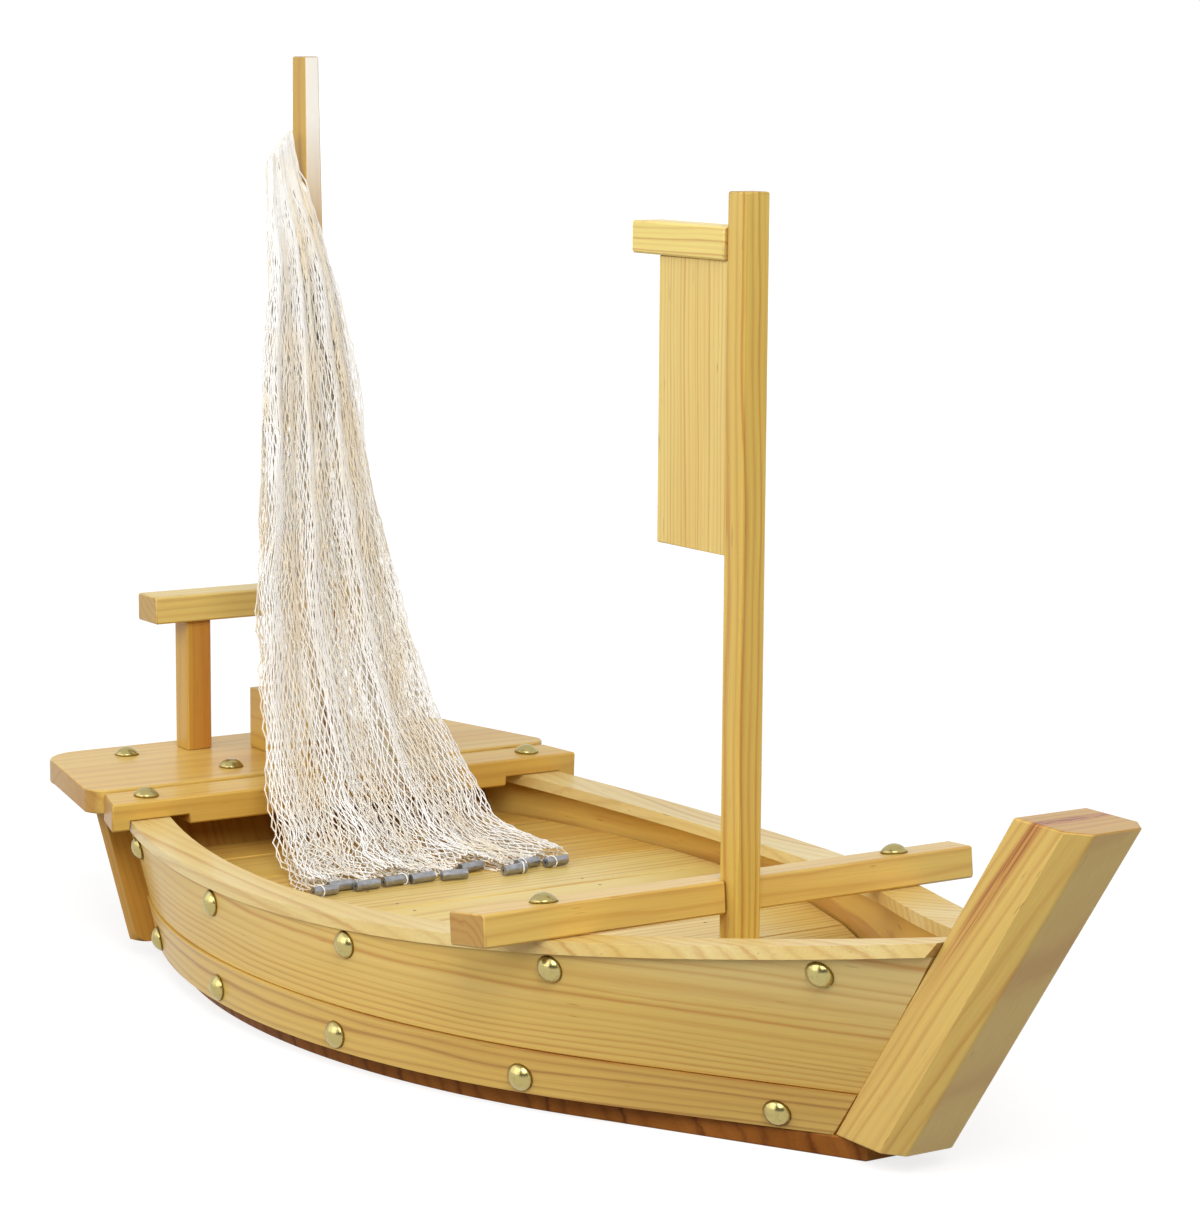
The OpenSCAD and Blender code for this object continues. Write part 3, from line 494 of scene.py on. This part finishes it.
# Each wooden piece as a log: how its grain is turned, where the pith runs in millimetres, and its rings
LOGS = {
    "hull": {
        # The port strake takes the honey stain as painted warm shade on its inner face
        "upper_strake_port": dict(
            turn=ALONG_BOAT, pith=(40, 52), seed=3, squash=0.0, gap=2.5, contrast=1.1, stain="honey"),
        "upper_strake_starboard": dict(
            turn=ALONG_BOAT, pith=(44, 90), seed=4, squash=0.0, gap=2.4, contrast=1.1, stain="plank"),
        "lower_strake_port": dict(
            turn=ALONG_BOAT, pith=(20, 5), seed=7, squash=0.0, gap=2.5, contrast=0.75, stain="low"),
        "lower_strake_starboard": dict(
            turn=ALONG_BOAT, pith=(20, -4), seed=8, squash=0.0, gap=2.5, contrast=0.8, stain="low"),
        "cap_rail_port": dict(
            turn=ALONG_BOAT, pith=(230, -60), seed=11, gap=4.6, contrast=0.75, stain="cap"),
        "cap_rail_starboard": dict(
            turn=ALONG_BOAT, pith=(-230, -60), seed=12, gap=4.6, contrast=0.75, stain="cap"),
        "stem_post": dict(
            turn=UP_THE_STEM, pith=(-1.0, -134.0), seed=15, squash=0.1, gap=4.2, contrast=0.7,
            streak=(190, 90, 4.2), stain="gold"),
        "transom": dict(turn=UP_THE_TRANSOM, pith=(15, 235), seed=17, contrast=0.6, stain="brown"),
        "bottom_board": dict(turn=ATHWART, pith=(320, -160), seed=19, gap=7.5, contrast=0.9, stain="base"),
    },
    "floor": {
        **boards(),
        "floor_bearer_port": dict(turn=ALONG_BOAT, pith=(0, 60), seed=41),
        "floor_bearer_starboard": dict(turn=ALONG_BOAT, pith=(0, 60), seed=42),
        "bow_bearer": dict(turn=ALONG_BOAT, pith=(30, 60), seed=43),
    },
    "deck": {
        "aft_beam": dict(turn=ATHWART, pith=(240, 40), seed=51, gap=3.8, contrast=0.55, stain="honey"),
        "forward_beam": dict(turn=ATHWART, pith=(-84, 60), seed=53, contrast=0.7, stain="gold"),
        "stern_deck": dict(turn=ATHWART, pith=(262, 20), seed=55, gap=4.2, contrast=0.5, stain="honey"),
        "rail_post_port": dict(turn=UPRIGHT, pith=(33, 280), seed=57, heart=14.0, stain="amber"),
        "rail_post_starboard": dict(turn=UPRIGHT, pith=(-31, 280), seed=58, heart=14.0, stain="amber"),
        "stern_rail": dict(turn=ATHWART, pith=(270, 160), seed=59, gap=4.0, contrast=0.45),
    },
    "masts": {
        "forward_mast": dict(turn=UPRIGHT, pith=(30, -120), seed=61, gap=2.6, contrast=1.1, stain="straw"),
        "forward_mast_step": dict(turn=ALONG_BOAT, pith=(40, 60), seed=63),
        "sail_yard": dict(turn=ALONG_BOAT, pith=(0, 280), seed=65, gap=2.2, contrast=0.85, stain="cream"),
        "sail_panel": dict(turn=UPRIGHT, pith=(-12, 70), seed=67, gap=2.4, contrast=0.9),
        # The rear mast's bow face gets a painted highlight high up
        "rear_mast": dict(turn=UPRIGHT, pith=(20, 250), seed=69, bow_highlight=(300, 60), stain="amber"),
        "rear_mast_step": dict(turn=ALONG_BOAT, pith=(30, 40), seed=71, contrast=0.7, stain="amber"),
    },
}


class BOAT_OT_hull(bpy.types.Operator):
    """Strakes, cap rails, stem, transom and bottom board"""

    bl_idname = "boat.hull"
    bl_label = "Hull"

    def execute(self, context):
        finish("hull")
        return {"FINISHED"}


class BOAT_OT_floor(bpy.types.Operator):
    """Floor boards athwart the hull, with their bearers"""

    bl_idname = "boat.floor"
    bl_label = "Floor"

    def execute(self, context):
        finish("floor")
        return {"FINISHED"}


class BOAT_OT_deck(bpy.types.Operator):
    """Beams, stern deck and stern rail"""

    bl_idname = "boat.deck"
    bl_label = "Beams and deck"

    def execute(self, context):
        finish("deck")
        return {"FINISHED"}


class BOAT_OT_masts(bpy.types.Operator):
    """Both masts with their steps, the yard and the sail panel"""

    bl_idname = "boat.masts"
    bl_label = "Masts and sail"

    def execute(self, context):
        finish("masts")
        return {"FINISHED"}


class BOAT_OT_metal(bpy.types.Operator):
    """Domed nails, floor brads and sinkers"""

    bl_idname = "boat.metal"
    bl_label = "Nails, brads and sinkers"

    NAILS = ("strake_nails", "beam_nails", "deck_nails")
    # Sizes of the film, the dents, the dull spots and the rust, in millimetres
    FILM = (2.2, 2.2, 2.2)
    DENTS = (1.3, 1.3, 1.3)
    DULL = (1.6, 3.0, 1.6)
    RUST = (0.6, 0.6, 0.6)
    LEAD_DARK = 0.6

    def execute(self, context):
        metal = context.scene.boat_metal
        dress(self.NAILS, self.brass(metal))
        dress(["net_sinkers"], self.lead(metal))
        dress(["floor_brads"], self.brads(metal, context.scene.boat_wood))
        smooth([*self.NAILS, "net_sinkers", "floor_brads"])
        return {"FINISHED"}

    def brass(self, metal):
        """Polished brass, duller under a patchy film."""
        g = Graph("brass")
        spot = g.place()
        film = g.ramp(g.noise(spot, self.FILM, 4.0, 0.6), [(0.5, 0.0), (0.85, 0.5)])
        g.surface({
            "Base Color": g.mix(film, metal.brass, metal.tarnish),
            "Roughness": g.math("MULTIPLY_ADD", film, 0.3, 0.24),
            "Metallic": 1.0,
        })
        g.bump(g.noise(spot, self.DENTS, 3.0), 0.1 * MM, 0.35)
        return g.material

    def lead(self, metal):
        """Lead with darker, smoother spots."""
        g = Graph("lead")
        dull = g.noise(g.place(), self.DULL, 4.0, 0.6)
        dark = tuple(c * self.LEAD_DARK for c in metal.lead)
        g.surface({
            "Base Color": g.mix(g.ramp(dull, [(0.35, 0.0), (0.7, 1.0)]), dark, metal.lead),
            "Roughness": g.math("MULTIPLY_ADD", dull, 0.3, 0.2),
            "Metallic": 0.85,
        })
        g.bump(dull, 0.15 * MM, 0.5)
        return g.material

    def brads(self, metal, wood):
        """Old steel with rust."""
        g = Graph("brad_steel")
        rust = g.noise(g.place(), self.RUST)
        g.surface({"Base Color": g.mix(rust, metal.steel, wood.heart), "Metallic": 0.6, "Roughness": 0.5})
        return g.material


def even_curve(points, samples):
    """A smooth curve through rows of numbers: straight runs by the distance along the first two columns,
    then a running mean that rounds the corners. Returns rows at even distances from head to hem."""
    steps = 600
    half = 45
    points = np.asarray(points, float)
    run = np.concatenate([[0], np.cumsum(np.hypot(*np.diff(points[:, :2], axis=0).T))])
    fine = np.linspace(0, run[-1], steps)
    rows = np.stack([np.interp(fine, run, column) for column in points.T], 1)
    window = np.hanning(2 * half + 1)
    before = 2 * rows[:1] - rows[half:0:-1]
    after = 2 * rows[-1:] - rows[-2:-half - 2:-1]
    padded = np.concatenate([before, rows, after])
    soft = np.stack([np.convolve(c, window / window.sum(), "valid") for c in padded.T], 1)
    step = np.concatenate([[0], np.cumsum(np.hypot(*np.diff(soft[:, :2], axis=0).T))])
    return np.stack([np.interp(np.linspace(0, step[-1], samples), step, c) for c in soft.T], 1)


def calm(field, rows, columns):
    """Random numbers made smooth: a running mean down the rows, then one across the columns."""
    for axis, size in ((0, rows), (1, columns)):
        kernel = np.hanning(size + 2)[1:-1]
        kernel = kernel / kernel.sum()
        field = np.apply_along_axis(np.convolve, axis, field, kernel, "same")
    return field / np.abs(field).max()


def tubes(lines, radius, sides):
    """Round threads along lines, an array (lines, points, 3): at each point a ring of corners square to the
    line's own direction, joined ring to ring and closed at both ends. Returns corners, quads and caps."""
    askew = (0.25, 1.0, 0.1)
    count, points = lines.shape[:2]
    way = np.gradient(lines, axis=1)
    way /= np.linalg.norm(way, axis=2, keepdims=True)
    across = np.cross(way, askew)
    across /= np.linalg.norm(across, axis=2, keepdims=True)
    up = np.cross(across, way)
    turn = np.linspace(0, 2 * np.pi, sides, endpoint=False)
    ring = np.cos(turn)[:, None] * across[:, :, None] + np.sin(turn)[:, None] * up[:, :, None]
    corners = lines[:, :, None] + radius * ring
    index = np.arange(count * points * sides).reshape(count, points, sides)
    a, b = index[:, :-1], index[:, 1:]
    quads = np.stack([a, np.roll(a, -1, 2), np.roll(b, -1, 2), b], -1).reshape(-1, 4)
    caps = np.concatenate([index[:, 0, ::-1], index[:, -1]])
    return corners.reshape(-1, 3), quads, caps


class BOAT_OT_net(bpy.types.Operator):
    """Knotted net that falls from the rear mast in folds and runs out over the floor"""

    bl_idname = "boat.net"
    bl_label = "Net"

    FOLDS = ("net_fold_back", "net_fold_middle", "net_fold_front")
    # Threads more or fewer in each fold
    MORE_THREADS = (-12, -3, 22)
    # Fall of the net in millimetres: x, z, starboard edge and port edge, from head to hem
    FALL = ((-240, 354, -20, -9), (-239, 340, -21, -7.5), (-231, 300, -24, 5), (-222, 228, -32, 15),
            (-209, 152, -42, 26), (-197, 107, -47, 33), (-183, 74, -50, 42), (-171, 60, -54, 46),
            (-154, 50, -60, 50), (-136, 46.5, -66, 53), (-113, 45.5, -70, 54))
    FALL_POINTS = 400
    SEED = 11
    SIDES = 4
    # How far the knots of a row stray from it, in rows
    ROW_SHAKE = 0.42
    # Width of a mesh as a share of its room: at the head, more towards the hem, and by chance
    MESH = (0.62, 0.12, 0.45)
    # Waves that bunch the threads: size, waves across, waves down, and folds to a full turn
    BUNCHES = ((0.011, 6, 0.9, 3), (0.006, 13, -1.7, 2))
    # Parting in the front folds: size, place at the head, its way to starboard, and width, as shares
    PARTING = (0.028, 0.7, 0.25, 0.05)
    EDGE_WANDER = 0.07
    # Sideways sway at the head and more towards the hem, in millimetres
    SWAY = (0.5, 2.0)
    JITTER = 0.45 * MM
    # Crimp of the threads and more of it in the hem, in millimetres
    CRIMP = (0.2, 0.5)
    HEM_JITTER = 1.5 * MM
    # Share of the fall at which the hem's bunching starts
    HEM_FROM = 0.78
    HEM_BACK = 3.4 * MM
    BULGE = 1.6 * MM
    # Pleats: depth, waves across, shift from fold to fold, and slant down the fall
    PLEAT_DEPTH = 2.8 * MM
    PLEATS = (3.2, 0.4, 2.5)
    # How far the head's starboard end hangs below its port end, and the share of the fall that it affects
    HEAD_DROP = 13 * MM
    HEAD_SHARE = 0.22
    # Rear mast: height where its taper starts, front face and half width there, and their loss to the top
    TAPER_FROM = 0.1
    MAST_FRONT = (20, 8)
    MAST_HALF = (6, 2.6)
    # Reach of a knot in thread diameters
    KNOT = (0.75, 0.75, 1.2)
    # Rings of thread round sinkers: how many, the sinker's radius, and how far they stray along it and lean
    RINGS = 5
    RING_POINTS = 17
    SINKERS = 10
    SINKER_R = 2.1 * MM
    RING_STRAY = 4.5
    RING_LEAN = 1.2

    def sinkers(self):
        """Middle and axis of each sinker, from the CAD node's equal solids."""
        places = read(NODES["net_sinkers"].data.vertices, "co", 3, np.float32)
        solids = places.reshape(self.SINKERS, -1, 3).astype(float)
        middle = (solids.min(axis=1) + solids.max(axis=1)) / 2
        axis = np.linalg.svd(solids - middle[:, None], full_matrices=False)[2][:, 0]
        return middle, axis

    def spread(self, number, count, down, fine, edge):
        """Place of each knot across the net as a share: even, with a zigzag of half a mesh from row to row,
        so that neighbours meet at the knots, then bunched by waves and drawn apart at the parting."""
        thread = np.arange(count)[:, None]
        row = np.arange(down.shape[1])
        width, wider, chance = self.MESH
        side = np.where((thread + row) % 2 == 0, -0.5, 0.5)
        side = side * np.clip(width + wider * down + chance * fine, 0.1, 1.0)
        share = (thread + 0.5 + side) / count
        bunch = np.zeros(down.shape)
        for size, across, along, turn in self.BUNCHES:
            bunch += size * np.sin(2 * np.pi * (across * share + along * down + number / turn))
        size, place, drift, width = self.PARTING
        aside = (share - place + drift * down) / width
        part = size * min(number, 1) * np.clip(4 * down, 0, 1) * np.clip(4 - 4.5 * down, 0, 1)
        bunch += part * aside * np.exp(-0.5 * aside * aside)
        return 0.5 + (share + bunch * np.sin(np.pi * share) - 0.5) * (1 + self.EDGE_WANDER * edge)

    def fold(self, net, number, rng):
        """Knot places of one fold as an array (threads, rows, 3): across by the share of the net's width,
        down by the fall's curve, and in depth by the fold, its pleats and slow noise. The head slants and the
        hem runs to the sinkers."""
        count = net.strands + self.MORE_THREADS[number]
        shape = (count, net.rows + 1)
        shake = calm(rng.standard_normal(shape), 3, 1)
        sway = calm(rng.standard_normal(shape), 29, 9)
        bulge = calm(rng.standard_normal(shape), 19, 13)
        fine = calm(rng.standard_normal(shape), 5, 3)
        crimp = rng.standard_normal(shape).clip(-2, 2)
        edge = calm(rng.standard_normal((net.rows + 1, 1)), 9, 1)[:, 0]

        fall = even_curve(np.array(self.FALL) * MM, self.FALL_POINTS)
        grid = np.linspace(0, 1, len(fall))
        down = np.clip((np.arange(net.rows + 1) + self.ROW_SHAKE * shake) / net.rows, 0, 1)
        late = np.clip((down - self.HEM_FROM) / (1 - self.HEM_FROM), 0, 1)
        x, z, starboard, port = (np.interp(down, grid, column) for column in fall.T)
        share = self.spread(number, count, down, fine, edge)
        y = starboard + (port - starboard) * share
        y += (self.SWAY[0] + self.SWAY[1] * down) * MM * sway + self.JITTER * fine
        y += (self.CRIMP[0] + self.CRIMP[1] * late) * MM * crimp + self.HEM_JITTER * late * fine

        run = np.stack([np.interp(down, grid, c) for c in np.gradient(fall[:, :2], axis=0).T], -1)
        run /= np.linalg.norm(run, axis=-1, keepdims=True)
        across, shift, slant = self.PLEATS
        pleat = np.sin(2 * np.pi * (across * share + shift * number) + slant * down)
        depth = (number - (len(self.FOLDS) - 1) / 2) * net.fold_gap + self.BULGE * bulge
        depth += self.PLEAT_DEPTH * pleat * np.clip(5 * down, 0.25, 1)
        x = x - depth * run[..., 1]
        z = z + depth * run[..., 0]
        head = np.clip(1 - down / self.HEAD_SHARE, 0, 1) ** 2
        z = z - self.HEAD_DROP * np.clip(1 - share, 0, 1) * head
        middle, _ = self.sinkers()
        order = np.argsort(middle[:, 1])
        hem = np.interp(y, middle[order, 1], middle[order, 0]) - self.HEM_BACK
        x = x + (hem - fall[-1, 0]) * late * late * (3 - 2 * late)
        places = np.stack([x, y, np.maximum(z, FLOOR_TOP + net.thread_d * 0.8)], -1)
        return self.clear_of_mast(places, net)

    def clear_of_mast(self, places, net):
        """Moves what would run through the rear mast out to its front face."""
        low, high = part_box("rear_mast")
        share = np.clip((places[..., 2] - self.TAPER_FROM) / (high.z - self.TAPER_FROM), 0, 1)
        front = low.x + (self.MAST_FRONT[0] - self.MAST_FRONT[1] * share) * MM + net.thread_d
        half = (self.MAST_HALF[0] - self.MAST_HALF[1] * share) * MM + net.thread_d
        inside = np.abs(places[..., 1]) < half
        places[..., 0] = np.where(inside, np.maximum(places[..., 0], front), places[..., 0])
        return places

    def knots(self, places, net):
        """A small eight-sided knot where two threads meet: six points at a knot's reach from its middle."""
        count, rows = places.shape[:2]
        tied = (np.arange(count)[:, None] + np.arange(rows)) % 2 == 0
        middle = places[tied]
        tips = np.concatenate([np.eye(3), -np.eye(3)]) * np.array(self.KNOT) * net.thread_d
        faces = np.array([[0, 1, 2], [1, 3, 2], [3, 4, 2], [4, 0, 2],
                          [1, 0, 5], [3, 1, 5], [4, 3, 5], [0, 4, 5]])
        index = faces + len(tips) * np.arange(len(middle))[:, None, None]
        return (middle[:, None] + tips).reshape(-1, 3), index.reshape(-1, 3)

    def rings(self, net, rng):
        """Slack rings of thread round some sinkers: circles about their axis, flattened on the floor."""
        middle, axis = self.sinkers()
        radius = self.SINKER_R + net.thread_d * 0.62
        turn = np.linspace(0, 2 * np.pi, self.RING_POINTS)
        chosen = np.sort(rng.permutation(len(middle))[:self.RINGS])
        middle, axis = middle[chosen], axis[chosen]
        level = np.cross(axis, (0.0, 0.0, 1.0))
        stray = rng.uniform(-self.RING_STRAY, self.RING_STRAY, len(middle))[:, None]
        lean = rng.uniform(-self.RING_LEAN, self.RING_LEAN, len(middle))[:, None] * MM
        ring = (middle + stray * MM * axis)[:, None] + radius * np.cos(turn)[:, None] * level[:, None]
        ring = ring + (lean * np.cos(turn))[..., None] * axis[:, None]
        ring[..., 2] += radius * np.sin(turn)
        ring[..., 2] = np.maximum(ring[..., 2], FLOOR_TOP + net.thread_d * 0.55)
        return ring

    def execute(self, context):
        net = context.scene.boat_net
        rng = np.random.default_rng(self.SEED)
        # The inner folds get a warmer copy of the cotton, as painted warm shade between the folds
        inner_shaded = self.cotton("net_thread_inner", net.shade, net.cream_and_shade)
        outer = self.cotton("net_thread", net.thread, net.shade)
        for number, name in enumerate(self.FOLDS):
            front = number == len(self.FOLDS) - 1
            places = self.fold(net, number, rng)
            parts = [tubes(places, net.thread_d / 2, self.SIDES), self.knots(places, net)]
            if front:
                parts.append(tubes(self.rings(net, rng), net.thread_d / 2, self.SIDES))
            piece = self.piece(context.scene, name, parts, outer if front else inner_shaded)
            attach(piece, "rear_mast_body")
            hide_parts("net")
        return {"FINISHED"}

    def piece(self, scene, name, parts, material):
        """One object of several parts, each with its corners and then its groups of faces."""
        starts = np.cumsum([0] + [len(part[0]) for part in parts])
        faces = []
        for part, start in zip(parts, starts):
            for group in part[1:]:
                faces.extend((group + start).tolist())
        mesh = bpy.data.meshes.new(name)
        mesh.from_pydata(np.concatenate([part[0] for part in parts]), [], faces)
        mesh.polygons.foreach_set("use_smooth", np.ones(len(mesh.polygons), bool))
        mesh.materials.append(material)
        piece = bpy.data.objects.new(name, mesh)
        scene.collection.objects.link(piece)
        return piece

    def cotton(self, name, pale, cream_and_shade):
        """Cotton with creamier parts and a soft fuzz. On the inner folds the creamier colour is
        painted warm shade.
        """
        g = Graph(name)
        spot = g.place()
        soft = g.noise(spot, (14, 14, 30), 3.0)
        fuzz = g.noise(spot, (0.25, 0.25, 0.5))
        colour = g.mix(g.ramp(soft, [(0.45, 0.0), (0.75, 1.0)]), pale, cream_and_shade)
        g.surface({
            "Base Color": g.mix(g.ramp(fuzz, [(0.5, 0.0), (0.8, 0.4)]), colour, cream_and_shade),
            "Roughness": 0.85,
            "Specular IOR Level": 0.2,
            "Sheen Weight": 1.0,
            "Sheen Roughness": 0.5,
        })
        g.bump(fuzz, 0.1 * MM, 0.5)
        return g.material


class BOAT_OT_stage(bpy.types.Operator):
    """White floor, camera and soft light"""

    bl_idname = "boat.stage"
    bl_label = "Stage"

    # Place and size of each lamp, in metres, and the place that they light
    LAMPS = {
        "key": ((0.15, -1.25, 0.7), 0.9),
        "fill": ((-0.9, -1.3, 0.8), 1.2),
        "front": ((1.5, -0.7, 1.45), 1.2),
    }
    AIM = (0.0, 0.0, 0.12)
    WHITE = (1.0, 1.0, 1.0)
    FLOOR_GREY = (0.32, 0.32, 0.32)
    FLOOR_HALF = 30.0
    # The floor's glow over a distance from the boat, in millimetres
    GLOW_REACH = 3000.0
    GLOW = ((0.1, 0.77), (1.0, 0.97))
    CARD_GREY = (0.03, 0.03, 0.03)
    CARD_PLACE = (1.9, -1.25, 0.9)
    CARD_WAY = (1.25, 1.9, 0.0)
    CARD_HALF_WIDTH = 1.3
    CARD_HALF_HEIGHT = 0.85
    SENSOR = 36.0
    SIGHT = 50.0

    def execute(self, context):
        scene = context.scene
        stage = scene.boat_stage
        scene.view_settings.view_transform = "Standard"
        self.camera(scene, stage)
        self.floor(scene)
        self.card(scene)
        self.sky(scene, stage)
        for name, (place, size) in self.LAMPS.items():
            self.lamp(scene, name, place, size, getattr(stage, name))
        return {"FINISHED"}

    def camera(self, scene, stage):
        """The camera's axes from its yaw, pitch and roll: it looks aft, to port and down."""
        yaw, pitch, roll = stage.yaw, stage.pitch, stage.roll
        ahead = Vector((-math.cos(yaw) * math.cos(pitch), math.sin(yaw) * math.cos(pitch), -math.sin(pitch)))
        right = ahead.cross(Vector((0, 0, 1))).normalized()
        up = right.cross(ahead)
        right, up = (right * math.cos(roll) + up * math.sin(roll),
                     up * math.cos(roll) - right * math.sin(roll))
        lens = bpy.data.cameras.new("camera")
        lens.lens = stage.lens
        lens.sensor_width = self.SENSOR
        lens.clip_end = self.SIGHT
        camera = bpy.data.objects.new("camera", lens)
        turn = Matrix((right, up, -ahead)).transposed().to_4x4()
        camera.matrix_world = Matrix.Translation(Vector(stage.place)) @ turn
        scene.collection.objects.link(camera)
        scene.camera = camera

    def flat(self, scene, name, corners, material):
        """A flat stage piece."""
        mesh = bpy.data.meshes.new(name)
        mesh.from_pydata(corners, [], [(0, 1, 2, 3)])
        mesh.materials.append(material)
        piece = bpy.data.objects.new(name, mesh)
        scene.collection.objects.link(piece)
        return piece

    def floor(self, scene):
        """Pale floor with the shadow on it; its own glow, stronger far off, makes it white to the camera."""
        g = Graph("floor_white")
        seen = g.add("ShaderNodeLightPath")
        shown = g.math("MAXIMUM", seen.outputs["Is Camera Ray"], seen.outputs["Is Glossy Ray"])
        shown = g.math("MAXIMUM", shown, seen.outputs["Is Transmission Ray"])
        glow = g.ramp(g.math("DIVIDE", g.length(g.place()), self.GLOW_REACH), self.GLOW)
        g.surface({
            "Base Color": self.FLOOR_GREY,
            "Roughness": 0.9,
            "Specular IOR Level": 0.0,
            "Emission Color": self.WHITE,
            "Emission Strength": g.math("MULTIPLY", glow, shown),
        })
        half = self.FLOOR_HALF
        corners = [(-half, -half, 0), (half, -half, 0), (half, half, 0), (-half, half, 0)]
        self.flat(scene, "floor", corners, g.material)

    def card(self, scene):
        """Dark card behind the camera, which gives polished metal something dark to mirror."""
        g = Graph("card_dark")
        g.surface({"Base Color": self.CARD_GREY})
        middle = Vector(self.CARD_PLACE)
        right = Vector(self.CARD_WAY).normalized() * self.CARD_HALF_WIDTH
        up = Vector((0.0, 0.0, self.CARD_HALF_HEIGHT))
        corners = [middle - right - up, middle + right - up, middle + right + up, middle - right + up]
        self.flat(scene, "card", corners, g.material).visible_camera = False

    def sky(self, scene, stage):
        """White to the camera and in reflections, a plain level as light."""
        world = bpy.data.worlds.new("sky")
        world.use_nodes = True
        scene.world = world
        tree = world.node_tree
        back = tree.nodes["Background"]
        back.inputs["Color"].default_value = (*self.WHITE, 1.0)
        seen = tree.nodes.new("ShaderNodeLightPath")
        shown = tree.nodes.new("ShaderNodeMath")
        shown.operation = "MAXIMUM"
        clear = tree.nodes.new("ShaderNodeMath")
        clear.operation = "MAXIMUM"
        tree.links.new(seen.outputs["Is Glossy Ray"], clear.inputs[0])
        tree.links.new(seen.outputs["Is Transmission Ray"], clear.inputs[1])
        tree.links.new(seen.outputs["Is Camera Ray"], shown.inputs[0])
        tree.links.new(clear.outputs[0], shown.inputs[1])
        level = tree.nodes.new("ShaderNodeMix")
        level.inputs["A"].default_value = stage.sky
        level.inputs["B"].default_value = 1.0
        tree.links.new(shown.outputs[0], level.inputs["Factor"])
        tree.links.new(level.outputs["Result"], back.inputs["Strength"])

    def lamp(self, scene, name, place, size, power):
        """A square lamp that faces the boat."""
        light = bpy.data.lights.new(name, "AREA")
        light.energy = power
        light.size = size
        lamp = bpy.data.objects.new(name, light)
        aim = Vector(self.AIM) - Vector(place)
        lamp.matrix_world = Matrix.Translation(place) @ aim.to_track_quat("-Z", "Y").to_matrix().to_4x4()
        scene.collection.objects.link(lamp)


STEPS = (BOAT_OT_hull, BOAT_OT_floor, BOAT_OT_deck, BOAT_OT_masts, BOAT_OT_metal, BOAT_OT_net, BOAT_OT_stage)
SETTINGS = {"boat_wood": BoatWood, "boat_metal": BoatMetal, "boat_net": BoatNet, "boat_stage": BoatStage}


class BOAT_PT_panel(bpy.types.Panel):
    """The boat's steps, with their sizes and colours"""

    bl_label = "Sushi boat"
    bl_idname = "BOAT_PT_panel"
    bl_space_type = "VIEW_3D"
    bl_region_type = "UI"
    bl_category = "Sushi boat"

    def draw(self, context):
        for step in STEPS:
            self.layout.operator(step.bl_idname)
        for name, group in SETTINGS.items():
            box = self.layout.box()
            for field in group.__annotations__:
                box.prop(getattr(context.scene, name), field)


def register():
    """Adds the settings, the steps and the panel."""
    for group in SETTINGS.values():
        bpy.utils.register_class(group)
    for name, group in SETTINGS.items():
        setattr(bpy.types.Scene, name, PointerProperty(type=group))
    for step in (*STEPS, BOAT_PT_panel):
        bpy.utils.register_class(step)


def unregister():
    """Takes the panel, the steps and the settings away."""
    for step in (BOAT_PT_panel, *reversed(STEPS)):
        bpy.utils.unregister_class(step)
    for name in SETTINGS:
        delattr(bpy.types.Scene, name)
    for group in reversed(SETTINGS.values()):
        bpy.utils.unregister_class(group)


def main():
    register()
    for step in STEPS:
        family, action = step.bl_idname.split(".")
        getattr(getattr(bpy.ops, family), action)()


if __name__ == "__main__":
    main()
